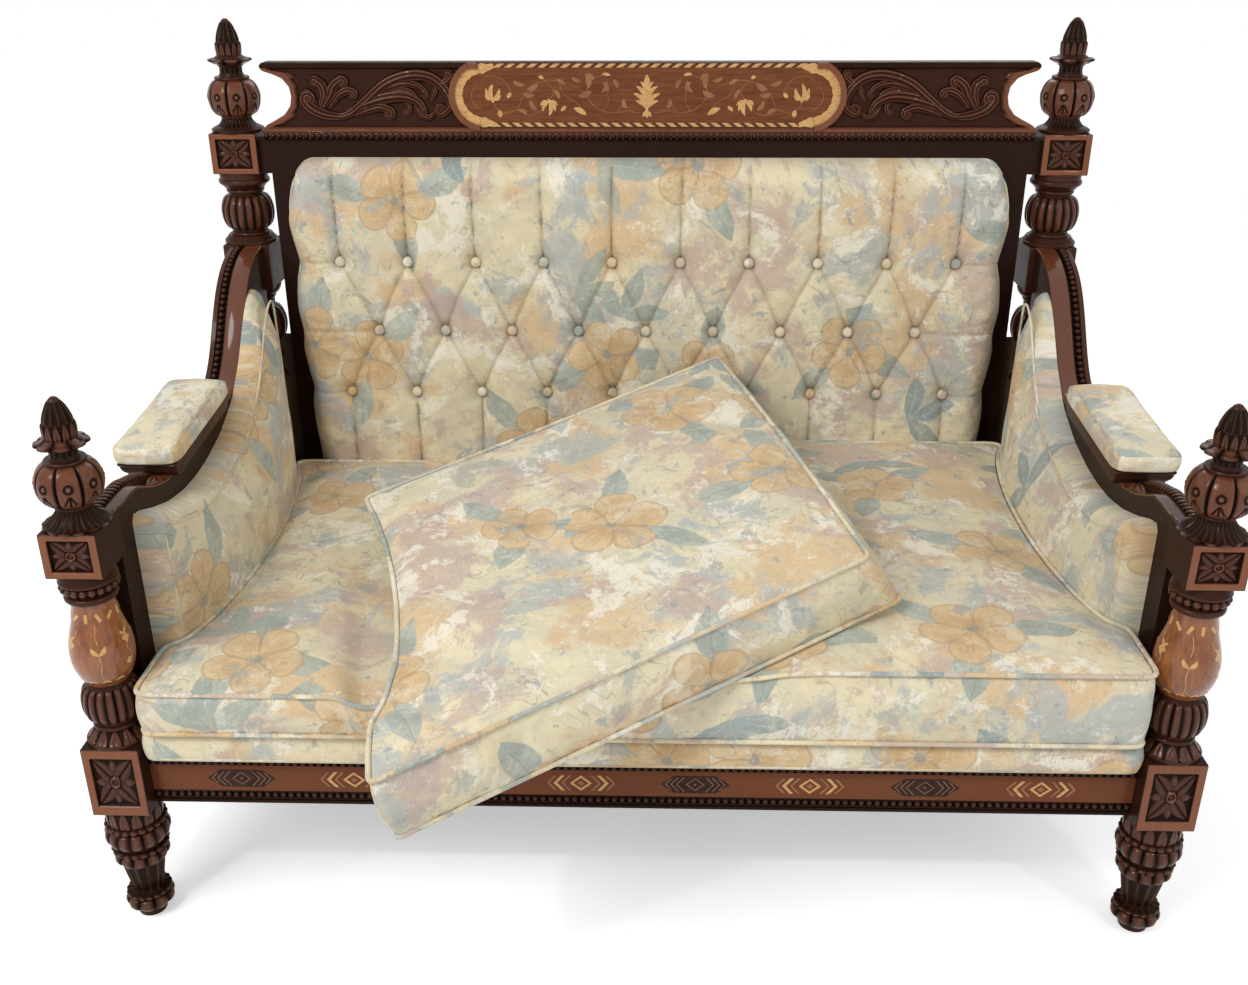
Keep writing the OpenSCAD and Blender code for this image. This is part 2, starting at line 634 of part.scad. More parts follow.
// Stand an outline drawn as [x, z] upright, with its front face at y and thickness t
module upright(y, t) { translate([0, y + t, 0]) rotate([90, 0, 0]) linear_extrude(t) children(); }
module crest_rail() { color(RED_WOOD) place() difference() {
    upright(frame_y, crest_rim + crest_t) crest_outline(0);
    upright(frame_y - over, crest_rim + over) crest_outline(2 * crest_rim);
    crest_dowel_row(crest_dowel_r + joint_gap, crest_dowel_l);
} }
module crest_dowels() { color(RED_WOOD) place()
    crest_dowel_row(crest_dowel_r, crest_dowel_l - 2 * over);
}
crest_field_h = crest_h - crest_foot - 2 * crest_rim;
crest_field_z = crest_z + crest_foot + crest_field_h / 2;
module crest_panel() { color(INLAY) place() upright(frame_y - over, crest_rim + over) {
    r = crest_field_h / 2 - soft_gap;
    translate([-crest_panel_l / 2 + r, crest_field_z - r]) square([crest_panel_l - 2 * r, 2 * r]);
    for (s = [-1, 1]) translate([s * (crest_panel_l / 2 - r), crest_field_z]) circle(r);
} }
// Carved scrolls between the panel and the hollow: each is an arc of round bead, as
// [place along the field, place up the field, radius, start angle, sweep] in shares
scroll_shares = [[0.16, 0.42, 0.20, 60, 250], [0.34, 0.68, 0.17, -60, 230],
    [0.50, 0.34, 0.30, 20, 140], [0.70, 0.52, 0.26, 150, 220], [0.86, 0.70, 0.14, -120, 240],
    [0.88, 0.28, 0.13, 30, 230]];
carve_x0 = crest_panel_l / 2;
carve_l = crest_half - crest_cut_r * 4 / 3 - carve_x0 - 2 * crest_rim;
module crest_carving() { color(WOOD) place() intersection() {
    for (m = scroll_shares)
        translate([carve_x0 + carve_l * (1 - m[0]), crest_y,
            crest_field_z + (m[1] - 0.5) * crest_field_h])
            rotate([90, 0, 0]) rotate(m[3]) rotate_extrude(angle = m[4])
                translate([m[2] * crest_field_h, 0]) circle(crest_rim, $fn = 20);
    translate([carve_x0, frame_y - crest_rim, crest_z])
        cube([crest_half - carve_x0, 2 * crest_rim, crest_h]);
} }
module crest_bead() { color(WOOD) place()
    bead(2 * crest_half, frame_y, crest_z + bead_w / 2);
}

// A closed shell over a grid of (nu + 1) by (nv + 1) points, from its rim to a flat back.
// back_rim holds one point for each rim point and back_mid the middle of the back.
function grid_rim(nu, nv) = concat([for (i = [0:nu - 1]) i],
    [for (j = [0:nv - 1]) j * (nu + 1) + nu], [for (i = [nu:-1:1]) nv * (nu + 1) + i],
    [for (j = [nv:-1:1]) j * (nu + 1)]);
module shell(pts, nu, nv, back_rim, back_mid) {
    rim = grid_rim(nu, nv);
    n = len(rim);
    base = len(pts);
    polyhedron(points = concat(pts, back_rim, [back_mid]), convexity = 10, faces = concat(
        [for (j = [0:nv - 1]) for (i = [0:nu - 1]) let (a = j * (nu + 1) + i, d = a + nu + 1)
            each [[a, d, d + 1], [a, d + 1, a + 1]]],
        [for (k = [0:n - 1]) let (m = (k + 1) % n)
            each [[rim[k], rim[m], base + m], [rim[k], base + m, base + k]]],
        [for (k = [0:n - 1]) [base + n, base + k, base + (k + 1) % n]]));
}
// A cushion from rings of n points each, the first ring lowest, with a middle point under
// the first and over the last
module cushion(rings, low_mid, top_mid) {
    n = len(rings[0]);
    last = (len(rings) - 1) * n;
    count = len(rings) * n;
    polyhedron(points = concat([for (r = rings) each r], [low_mid, top_mid]), convexity = 10,
        faces = concat(
        [for (i = [0:n - 1]) [count, i, (i + 1) % n]],
        [for (k = [0:len(rings) - 2]) for (i = [0:n - 1])
            let (a = k * n + i, b = k * n + (i + 1) % n)
            each [[a, a + n, b + n], [a, b + n, b]]],
        [for (i = [0:n - 1]) [count + 1, last + (i + 1) % n, last + i]]));
}

// Arm lining: its top follows the arm, its face domes inwards along its length and
// fades to the edge at its top
lining_rear_y = rear_stile_y - side_board_t;
lining_l = lining_rear_y - front_flat_y;
lining_apex_z = arm_block_top - back_stile_w;
lining_top_shares = [[0, 0.64], [0.04, 0.62], [0.11, 0.587], [0.20, 0.55], [0.295, 0.53],
    [0.38, 0.53], [0.465, 0.54], [0.574, 0.571], [0.69, 0.641], [0.786, 0.76], [0.853, 0.895],
    [0.90, 0.97], [0.95, 1], [1, 0.97]];
function lining_top(u) = deck_top + soft_gap
    + lookup(u, lining_top_shares) * (lining_apex_z - deck_top);
function lining_face(u) = lining_dome * pow(4 * u * (1 - u), 0.7);
function lining_x(u, v) = lining_in - lining_face(u) * pow(max(0, 1 - pow(v, 3)), 0.8);
lining_nu = 22;
lining_nv = 9;
module arm_lining() {
    // columns run from the rear to the front, so that the face looks to -X
    pts = [for (j = [0:lining_nv]) for (i = [0:lining_nu])
        let (u = 1 - i / lining_nu, v = j / lining_nv)
        [lining_x(u, v), front_flat_y + u * lining_l,
            deck_top + soft_gap + v * (lining_top(u) - deck_top - soft_gap)]];
    rim = [for (k = grid_rim(lining_nu, lining_nv)) [lining_out, pts[k][1], pts[k][2]]];
    color(CLOTH) place() shell(pts, lining_nu, lining_nv, rim,
        [lining_out, front_flat_y + lining_l / 2, (deck_top + arm_under_z) / 2]);
}

// Tufted back: buttons in three rows, ten, nine and ten, with diamond pleats between the
// rows and straight channels above and below them
tuft_half = stile_in + bead_w;
tuft_top = back_top_z - back_stile_w + bead_w - 2 * over;
row_z = [tuft_top - 3 * button_row_pitch + button_row_pitch / 2 + bead_w * 1.5,
    tuft_top - 2 * button_row_pitch + button_row_pitch / 2 + bead_w * 1.5,
    tuft_top - button_row_pitch + button_row_pitch / 2 + bead_w * 1.5];
row_mid_z = tuft_top - 2.43 * button_row_pitch;
button_flat = button_r + 2 * over;
edge_drop = tuft_t / 2;
edge_reach = 3 * bead_w;
pleat_share = 0.42;
reach_share = 0.34;
function near_step(p, half, limit) = let (k = round(p - half) + half) min(limit, max(-limit, k));
// Distance outside the flat square that the nearest button sits on
function button_dist(x, z) = let (q = (z - row_mid_z) / button_row_pitch,
    k = min(1, max(-1, round(q))), half = k == 0 ? 0 : 0.5, limit = k == 0 ? 4 : 4.5,
    bx = near_step(x / button_pitch, half, limit))
    norm([max(0, abs(x - bx * button_pitch) - button_flat),
        max(0, abs(q - k) * button_row_pitch - button_flat)]);
function pillow(x, z) = let (p = x / button_pitch, q = (z - row_mid_z) / button_row_pitch)
    abs(q) > 1 ? sqrt(abs(cos(180 * p)))
    : sqrt(abs(sin(180 * (p + q / 2))) * abs(sin(180 * (p - q / 2))));
function edge_in(x, z) = let (e = min(tuft_half - abs(x), z - deck_top, tuft_top - z))
    edge_drop * pow(max(0, 1 - e / edge_reach), 2);
function tuft_in(x, z) = let (near = max(0, 1 - button_dist(x, z) / (reach_share * button_pitch)))
    max(tuft_depth * max(near * near, pleat_share * (1 - pillow(x, z))), edge_in(x, z));
tuft_xs = concat([-tuft_half, -tuft_half + edge_reach / 2],
    [for (k = [-9:9]) each [k * button_pitch / 2 - button_pitch / 4, k * button_pitch / 2 - button_flat,
        k * button_pitch / 2 + button_flat]],
    [9.5 * button_pitch / 2, tuft_half - edge_reach / 2, tuft_half]);
function row_band(k) = row_mid_z + k * button_row_pitch;
tuft_zs = concat([deck_top + soft_gap, deck_top + edge_reach, row_band(-1) - button_row_pitch / 2],
    [for (k = [-1:1]) each [row_band(k) - button_flat, row_band(k) + button_flat,
        row_band(k) + button_row_pitch / 2]],
    [tuft_top - edge_reach, tuft_top - edge_reach / 2, tuft_top]);
module tufted_back() {
    nu = len(tuft_xs) - 1;
    nv = len(tuft_zs) - 1;
    pts = [for (z = tuft_zs) for (x = tuft_xs) [x, tuft_y + tuft_in(x, z), z]];
    back_y = tuft_y + tuft_t;
    rim = [for (k = grid_rim(nu, nv)) [pts[k][0], back_y, pts[k][2]]];
    color(CLOTH) place() shell(pts, nu, nv, rim, [0, back_y, row_mid_z]);
}
button_t = 7;
module back_buttons() { color(CLOTH) place() for (k = [-1:1]) {
    count = k == 0 ? 9 : 10;
    for (i = [0:count - 1])
        translate([(i - (count - 1) / 2) * button_pitch, tuft_y + tuft_depth - soft_gap, row_band(k)])
            rotate([90, 0, 0]) rotate_extrude($fn = 24) polygon([[0, 0], [button_r * 0.8, 0],
                [button_r, button_t / 3], [button_r * 0.8, button_t * 0.8], [0, button_t]]);
} }

// Deck: the upholstered platform on the webbing, with a soft front edge over the rail
deck_front_y = low_block_w / 10;
deck_half = low_block_in - 4 * over;
deck_soft = deck_t / 4;
module deck() { color(CLOTH) place()
    side_slice(-deck_half, deck_half, concat([[frame_y - soft_gap, deck_z], [frame_y - soft_gap, deck_top]],
        [for (a = [90:15:180]) [deck_front_y + deck_soft + deck_soft * cos(a), deck_top - deck_soft + deck_soft * sin(a)]],
        [for (a = [180:15:270]) [deck_front_y + deck_soft + deck_soft * cos(a), deck_z + deck_soft + deck_soft * sin(a)]]));
}

// Loose cushion in its own frame: the front-left corner of its underside at the origin,
// +X along its front edge. Its left side is hollowed.
loose_far_shares = [[0.277, 1.006], [0.333, 0.943]];
loose_waist_shares = [[0, 0], [0.12, 0.028], [0.24, 0.047], [0.36, 0.059], [0.475, 0.064],
    [0.58, 0.063], [0.677, 0.056], [0.777, 0.033], [0.84, 0.005], [0.92, 0]];
loose_corners = [[0, 0], [loose_front_l, 0],
    [loose_front_l + loose_far_shares[0][0] * loose_left_l, loose_far_shares[0][1] * loose_left_l],
    [loose_far_shares[1][0] * loose_left_l, loose_far_shares[1][1] * loose_left_l]];
loose_crown = 7;
loose_bow = 5;
edge_steps = 9;
function edge_pts(a, b, bow) = let (d = (b - a) / norm(b - a))
    [for (i = [0:edge_steps - 1]) let (t = i / edge_steps) a + t * (b - a) - bow * sin(180 * t) * [-d[1], d[0]]];
function waist_pts(a, b) = let (d = (b - a) / norm(b - a))
    [for (w = loose_waist_shares) a + w[0] * (b - a) + w[1] * loose_left_l * [-d[1], d[0]]];
loose_outline = concat(edge_pts(loose_corners[0], loose_corners[1], 0),
    edge_pts(loose_corners[1], loose_corners[2], loose_bow),
    edge_pts(loose_corners[2], loose_corners[3], -loose_bow),
    waist_pts(loose_corners[3], loose_corners[0]));
loose_mid = (loose_corners[0] + loose_corners[1] + loose_corners[2] + loose_corners[3]) / 4;
// Each ring is [size share, height share, crown share]
cushion_ring_shares = [[0.90, 0, 0], [0.975, 0.03, 0], [1, 0.12, 0], [0.985, 0.5, 0], [1, 0.9, 0],
    [0.98, 0.985, 0.05], [0.88, 1, 0.35], [0.65, 1, 0.72], [0.35, 1, 0.93]];
function loose_point(p, r) = let (q = loose_mid + r[0] * (p - loose_mid))
    [q[0], q[1], r[1] * loose_t + r[2] * loose_crown];

// Its place: turned about Z and leaning on the seat's edge and towards the back
loose_lean = [3.6, -8.9, loose_turn];
loose_hang = 84;
loose_corner_x = 291;
loose_front_out = 236;
loose_at = [-loose_corner_x, -loose_front_out, seat_z + seat_t - loose_hang];
function turn_x(a, p) = [p[0], p[1] * cos(a) - p[2] * sin(a), p[1] * sin(a) + p[2] * cos(a)];
function turn_y(a, p) = [p[0] * cos(a) + p[2] * sin(a), p[1], -p[0] * sin(a) + p[2] * cos(a)];
function turn_z(a, p) = [p[0] * cos(a) - p[1] * sin(a), p[0] * sin(a) + p[1] * cos(a), p[2]];
function loose_place(p) = loose_at + turn_z(loose_lean[2], turn_y(loose_lean[1], turn_x(loose_lean[0], p)));
loose_rings = [for (r = cushion_ring_shares) [for (p = loose_outline) loose_place(loose_point(p, r))]];
module loose_cushion() { color(CLOTH) place()
    cushion(loose_rings, loose_place([loose_mid[0], loose_mid[1], 0]),
        loose_place([loose_mid[0], loose_mid[1], loose_t + loose_crown]));
}

// Middle of the overall depth, from the loose cushion's corner to the back columns
min_y = min([for (r = loose_rings) each [for (p = r) p[1]]]);
max_y = back_axis_y + max(back_column_r, back_finial_r, leg_r, back_block_w / 2);
middle_y = (min_y + max_y) / 2;

// Seat cushion: it narrows between the arm linings, and its top is pressed down where the
// loose cushion lies on it
up = loose_place([0, 0, 1]) - loose_at;
function under_loose(x, y) = loose_at[2]
    - (up[0] * (x - loose_at[0]) + up[1] * (y - loose_at[1])) / up[2];
flat_corners = [for (c = loose_corners) loose_place([c[0], c[1], 0])];
function out_of_edge(i, x, y) = let (a = flat_corners[i], b = flat_corners[(i + 1) % 4],
    d = [b[0] - a[0], b[1] - a[1]]) ((x - a[0]) * d[1] - (y - a[1]) * d[0]) / norm(d);
function out_of_loose(x, y) = max([for (i = [0:3]) out_of_edge(i, x, y)]);
press_slope = 0.8;
press_rim = 30;      // the pressed hollow is this much wider than the loose cushion
sag_from = -front_axis_y * 2;
sag_to = front_axis_y * 6;
function seat_free(x) = seat_z + seat_t - seat_sag * (1 - ease(x, sag_from, sag_to));
press_gap = 5 * soft_gap;
function seat_top(x, y, crown) = min(seat_free(x) + crown,
    under_loose(x, y) - press_gap + press_slope * max(0, out_of_loose(x, y) - press_rim));
seat_front_half = post_axis_x - front_column_r - 3 * over;
seat_front_y = -over;
seat_back_y = tuft_y - 2 * soft_gap;
seat_corner = 14;
ear_y = front_flat_y - 4 * soft_gap;
function seat_half(y) = y < ear_y ? seat_front_half
    : lining_in - lining_face((y - front_flat_y) / lining_l) - 2 * soft_gap;
seat_side_ys = concat([seat_front_y + seat_corner, (seat_front_y + ear_y) / 2, ear_y - 8 * over],
    [for (i = [0:lining_nu]) front_flat_y + lining_l * i / lining_nu]);
seat_side = concat([for (y = seat_side_ys) [seat_half(y) - (y < ear_y ? 0 : soft_gap), y]],
    [[seat_half(lining_rear_y) - soft_gap, seat_back_y - seat_corner], [seat_half(lining_rear_y) - seat_corner, seat_back_y]]);
front_steps = 16;
seat_outline = concat(
    [for (i = [0:front_steps]) [(2 * i / front_steps - 1) * (seat_front_half - seat_corner), seat_front_y]],
    seat_side,
    [for (i = [1:front_steps - 1]) [(1 - 2 * i / front_steps) * (seat_half(lining_rear_y) - seat_corner), seat_back_y]],
    [for (i = [len(seat_side) - 1:-1:0]) [-seat_side[i][0], seat_side[i][1]]]);
seat_mid = [0, (seat_front_y + seat_back_y) / 2];
function seat_point(p, r) = let (q = seat_mid + r[0] * (p - seat_mid),
    top = seat_top(q[0], q[1], r[2] * seat_crown)) [q[0], q[1], seat_z + r[1] * (top - seat_z)];
seat_ring_shares = [[0.96, 0, 0], [0.99, 0.03, 0], [1, 0.12, 0], [0.994, 0.5, 0], [1, 0.9, 0],
    [0.992, 0.985, 0.05], [0.93, 1, 0.35], [0.82, 1, 0.6], [0.64, 1, 0.82], [0.42, 1, 0.94], [0.2, 1, 1]];
module seat_cushion() { color(CLOTH) place()
    cushion([for (r = seat_ring_shares) [for (p = seat_outline) seat_point(p, r)]],
        [seat_mid[0], seat_mid[1], seat_z],
        [seat_mid[0], seat_mid[1], seat_top(seat_mid[0], seat_mid[1], seat_crown)]);
}

// Arm pad: a small crowned cushion with rounded corners on the slanted base
pad_over = 4;
pad_corner = 18;
pad_half = pad_base_w / 2 + pad_over;
pad_half_l = pad_seat_l / 2 + pad_over;
pad_slope = atan2(pad_seat_rise, pad_seat_l);
pad_outline = [for (q = [0:3]) let (sx = q == 0 || q == 3 ? 1 : -1, sy = q < 2 ? 1 : -1)
    each [for (a = [0:22.5:90]) [sx * (pad_half - pad_corner) + pad_corner * cos(a + 90 * q),
        sy * (pad_half_l - pad_corner) + pad_corner * sin(a + 90 * q)]]];
function pad_point(p, r) = [r[0] * p[0], r[0] * p[1], soft_gap + r[1] * pad_t + r[2] * pad_crown];
module arm_pad() { color(CLOTH) place()
    translate([base_in + pad_base_w / 2, (pad_seat_y + pad_rear[0]) / 2,
        (pad_seat_z + pad_rear[1]) / 2 + pad_base_t])
        rotate([pad_slope, 0, 0]) cushion([for (r = cushion_ring_shares) [for (p = pad_outline) pad_point(p, r)]],
            [0, 0, soft_gap], [0, 0, soft_gap + pad_t + pad_crown]);
}

left_side() front_post();  // front_post_left
front_post();  // front_post_right
left_side() back_post();  // back_post_left
back_post();  // back_post_right
left_side() finial(front_axis_y, front_top_z, front_finial_h, front_finial_r);  // front_finial_left
finial(front_axis_y, front_top_z, front_finial_h, front_finial_r);  // front_finial_right
left_side() finial(back_axis_y, back_top_z, back_finial_h, back_finial_r);  // back_finial_left
finial(back_axis_y, back_top_z, back_finial_h, back_finial_r);  // back_finial_right
front_rail();
back_rail();
left_side() side_rail();  // side_rail_left
side_rail();  // side_rail_right
front_rail_strip();
front_rail_inlays();
front_bead(strip_z + strip_h + bead_w / 2);  // front_bead_upper
front_bead(strip_z - bead_w / 2);  // front_bead_lower
corner_blocks();
corner_screws();
dust_cover();
seat_webbing();
left_side() arm();  // arm_left
arm();  // arm_right
left_side() arm_beads();  // arm_beads_left
arm_beads();  // arm_beads_right
left_side() arm_pad_base();  // arm_pad_base_left
arm_pad_base();  // arm_pad_base_right
left_side() arm_pad();  // arm_pad_left
arm_pad();  // arm_pad_right
left_side() side_stiles();  // side_stiles_left
side_stiles();  // side_stiles_right
left_side() side_board();  // side_board_left
side_board();  // side_board_right
left_side() arm_lining();  // arm_lining_left
arm_lining();  // arm_lining_right
left_side() back_stile();  // back_stile_left
back_stile();  // back_stile_right
back_top_rail();
back_low_rail();
back_board();
crest_rail();
crest_dowels();
crest_panel();
left_side() crest_carving();  // crest_carving_left
crest_carving();  // crest_carving_right
crest_bead();
tufted_back();
back_buttons();
deck();
seat_cushion();
loose_cushion();
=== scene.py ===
import math
import bmesh
import bpy
import numpy as np
from mathutils import Euler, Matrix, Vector


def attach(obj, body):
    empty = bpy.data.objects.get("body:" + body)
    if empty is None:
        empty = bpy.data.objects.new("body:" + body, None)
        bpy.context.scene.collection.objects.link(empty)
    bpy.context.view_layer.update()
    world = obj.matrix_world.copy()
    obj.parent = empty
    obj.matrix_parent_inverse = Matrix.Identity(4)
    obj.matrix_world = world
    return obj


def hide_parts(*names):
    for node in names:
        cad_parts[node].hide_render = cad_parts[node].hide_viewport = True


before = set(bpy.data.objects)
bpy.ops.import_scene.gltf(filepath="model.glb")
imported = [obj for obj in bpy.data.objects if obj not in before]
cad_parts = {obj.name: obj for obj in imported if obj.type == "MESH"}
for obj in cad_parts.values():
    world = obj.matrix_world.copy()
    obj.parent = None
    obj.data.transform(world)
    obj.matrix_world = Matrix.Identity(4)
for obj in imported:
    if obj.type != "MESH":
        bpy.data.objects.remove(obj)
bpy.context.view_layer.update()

# Studio. The sofa stands on a plain pale floor that fades into a white surround, under one
# broad soft lamp at the left front, a weaker one at the right and one behind, two small ones
# that give the polish its highlights, and a soft white sky. The camera is where the photograph
# was taken from: at standing height, a little right of the middle.
camera_data = bpy.data.cameras.new("camera")
camera = bpy.data.objects.new("camera", camera_data)
bpy.context.scene.collection.objects.link(camera)
bpy.context.scene.camera = camera
camera_data.sensor_width = 36.0
camera_data.lens = 37.02
camera.location = (0.02379, -1.76410, 1.34666)
camera.rotation_euler = Euler([math.radians(a) for a in (65.5831, 0.1911, 1.5603)], "XYZ")
bpy.context.scene.view_settings.view_transform = "Standard"

for name, size, power, place, aim in (("key", 1.7, 62.0, (-2.1, -2.2, 3.0), (0.0, 0.0, 0.5)),
                                      ("fill", 2.0, 11.0, (2.6, -1.6, 2.0), (0.0, 0.0, 0.5)),
                                      ("rear", 1.6, 18.0, (0.6, 2.4, 2.6), (0.0, 0.2, 0.8)),
                                      ("window_left", 0.13, 9.0, (-1.3, -1.9, 2.5), (0.0, 0.0, 0.5)),
                                      ("window_right", 0.12, 7.0, (1.5, -1.7, 2.2), (0.0, 0.0, 0.5))):
    data = bpy.data.lights.new(name, "AREA")
    data.size = size
    data.energy = power
    lamp = bpy.data.objects.new(name, data)
    lamp.location = place
    lamp.rotation_euler = (Vector(aim) - Vector(place)).to_track_quat("-Z", "Y").to_euler()
    bpy.context.scene.collection.objects.link(lamp)


def math_node(operation):
    """A method that joins a shade with another value by one Math node."""
    def join(self, *others):
        return self.finish.node("Math", {"operation": operation}, dict(enumerate((self,) + others)))
    return join


class Shade:
    """One value in a material. Python operators on it add the Math nodes for the sum."""
    __add__ = __radd__ = math_node("ADD")
    __mul__ = __rmul__ = math_node("MULTIPLY")
    __truediv__ = math_node("DIVIDE")
    __pow__ = math_node("POWER")
    __sub__ = math_node("SUBTRACT")
    max = math_node("MAXIMUM")
    min = math_node("MINIMUM")
    abs = math_node("ABSOLUTE")
    sin = math_node("SINE")
    cos = math_node("COSINE")
    sqrt = math_node("SQRT")
    fraction = math_node("FRACT")
    angle_from = math_node("ARCTAN2")

    def __init__(self, finish, socket):
        self.finish = finish
        self.socket = socket

    def __rsub__(self, other):
        return self * -1.0 + other

    def step(self, low, high):
        """Smooth step: 0 below low, 1 above high."""
        return self.finish.node("MapRange", {"interpolation_type": "SMOOTHSTEP"},
                                {"Value": self, "From Min": low, "From Max": high})


class Finish:
    """A material and its node tree. A colour is three numbers of linear light."""

    def __init__(self, name):
        self.material = bpy.data.materials.new(name)
        self.material.use_nodes = True
        self.tree = self.material.node_tree
        self.shader = self.tree.nodes["Principled BSDF"]

    def fill(self, socket, value):
        """Links a shade to a socket, or sets the socket to a value or a colour."""
        if isinstance(value, Shade):
            self.tree.links.new(value.socket, socket)
        elif isinstance(value, tuple) and len(value) == 3 and len(socket.default_value) == 4:
            socket.default_value = (*value, 1.0)
        else:
            socket.default_value = value

    def node(self, kind, settings, inputs, out=0):
        """Adds one node: its settings first, then a value or a link for each socket named."""
        item = self.tree.nodes.new("ShaderNode" + kind)
        for key, value in settings.items():
            setattr(item, key, value)
        for key, value in inputs.items():
            self.fill(item.inputs[key], value)
        return Shade(self, item.outputs[out])

    def here(self):
        """The place on the object, in metres."""
        return self.node("TexCoord", {}, {}, 3)

    def moved(self, place, **by):
        """The place after a Mapping node: Location, Rotation or Scale."""
        return self.node("Mapping", {}, {"Vector": place, **by})

    def noise(self, place, scale, detail, rough=0.5, bend=0.0, flat=False, out=0):
        """Cloudy noise, in two dimensions where it is flat."""
        return self.node("TexNoise", {"noise_dimensions": "2D" if flat else "3D"},
                         {"Vector": place, "Scale": scale, "Detail": detail, "Roughness": rough,
                          "Distortion": bend}, out)

    def bump(self, height, strength, distance, **more):
        return self.node("Bump", {}, {"Height": height, "Strength": strength, "Distance": distance, **more})

    def ramp(self, share, stops):
        """Runs through the colours of the stops, each with its place from 0 to 1."""
        colour = self.node("ValToRGB", {}, {"Fac": share})
        elements = colour.socket.node.color_ramp.elements
        while len(elements) < len(stops):
            elements.new(1.0)
        for element, (place, tint) in zip(elements, stops):
            element.position = place
            element.color = (*tint, 1.0)
        return colour

    def blend(self, share, low, high):
        """Colour low where share is 0 and high where it is 1."""
        return self.node("Mix", {"data_type": "RGBA"}, {0: share, 6: low, 7: high}, 2)

    def set(self, **values):
        """Sets the shader's own sockets: Base_Color is Base Color, and so on."""
        for key, value in values.items():
            self.fill(self.shader.inputs[key.replace("_", " ")], value)
        return self


def seen(tree):
    """1 for what the camera sees, straight or in a reflection or through glass, otherwise 0."""
    path = tree.nodes.new("ShaderNodeLightPath")
    share = path.outputs["Is Camera Ray"]
    for ray in ("Is Glossy Ray", "Is Transmission Ray"):
        most = tree.nodes.new("ShaderNodeMath")
        most.operation = "MAXIMUM"
        tree.links.new(share, most.inputs[0])
        tree.links.new(path.outputs[ray], most.inputs[1])
        share = most.outputs[0]
    return share


def mixed(tree, first, second, outlet):
    """Sends the second shader to the outlet for what is seen, and the first for other light."""
    either = tree.nodes.new("ShaderNodeMixShader")
    for socket, source in zip(either.inputs, (seen(tree), first, second)):
        tree.links.new(source, socket)
    tree.links.new(either.outputs[0], tree.nodes[outlet].inputs["Surface"])


WHITE = (1.0, 1.0, 1.0, 1.0)
SKY_STRENGTH = 0.55
FLOOR_HALF = 12.0
FLOOR_GLOW = 0.44
world = bpy.data.worlds.new("sky")
bpy.context.scene.world = world
world.use_nodes = True
sky_tree = world.node_tree
sky = sky_tree.nodes["Background"]
surround = sky_tree.nodes.new("ShaderNodeBackground")
for light, strength in ((sky, SKY_STRENGTH), (surround, 1.0)):
    light.inputs["Color"].default_value = WHITE
    light.inputs["Strength"].default_value = strength
mixed(sky_tree, sky.outputs[0], surround.outputs[0], "World Output")

floor_mesh = bpy.data.meshes.new("floor")
floor_corners = [(x * FLOOR_HALF, y * FLOOR_HALF, 0.0) for x, y in ((-1, -1), (1, -1), (1, 1), (-1, 1))]
floor_mesh.from_pydata(floor_corners, [], [(0, 1, 2, 3)])
floor = bpy.data.objects.new("floor", floor_mesh)
bpy.context.scene.collection.objects.link(floor)
pale = Finish("studio_floor").set(Base_Color=(0.9, 0.9, 0.9), Roughness=0.8, Specular_IOR_Level=0.2)
away = pale.node("VectorMath", {"operation": "LENGTH"}, {0: pale.here()}, 1)
glow = pale.node("Emission", {}, {"Color": away.step(3.0, 11.0) * 0.16 + 1.0, "Strength": FLOOR_GLOW})
lifted = pale.tree.nodes.new("ShaderNodeAddShader")
for socket, source in zip(lifted.inputs, (pale.shader.outputs[0], glow.socket)):
    pale.tree.links.new(source, socket)
mixed(pale.tree, pale.shader.outputs[0], lifted.outputs[0], "Material Output")
floor_mesh.materials.append(pale.material)


# Corner posts and finials. Each post is one length of mahogany, turned between the square
# blocks left on it, then carved with lobes, flutes, beads and a flower on each front block.
# The finials are turned and carved apart and dowelled into the posts' tops.
MIDDLE = 340.254        # millimetres from the front posts' faces to the middle of the depth
ORIGIN = np.array([0.0, MIDDLE, 0.0])
MM = 0.001
POST_X = 720.0
FRONT_Y = 40.0
BACK_Y = 880.0


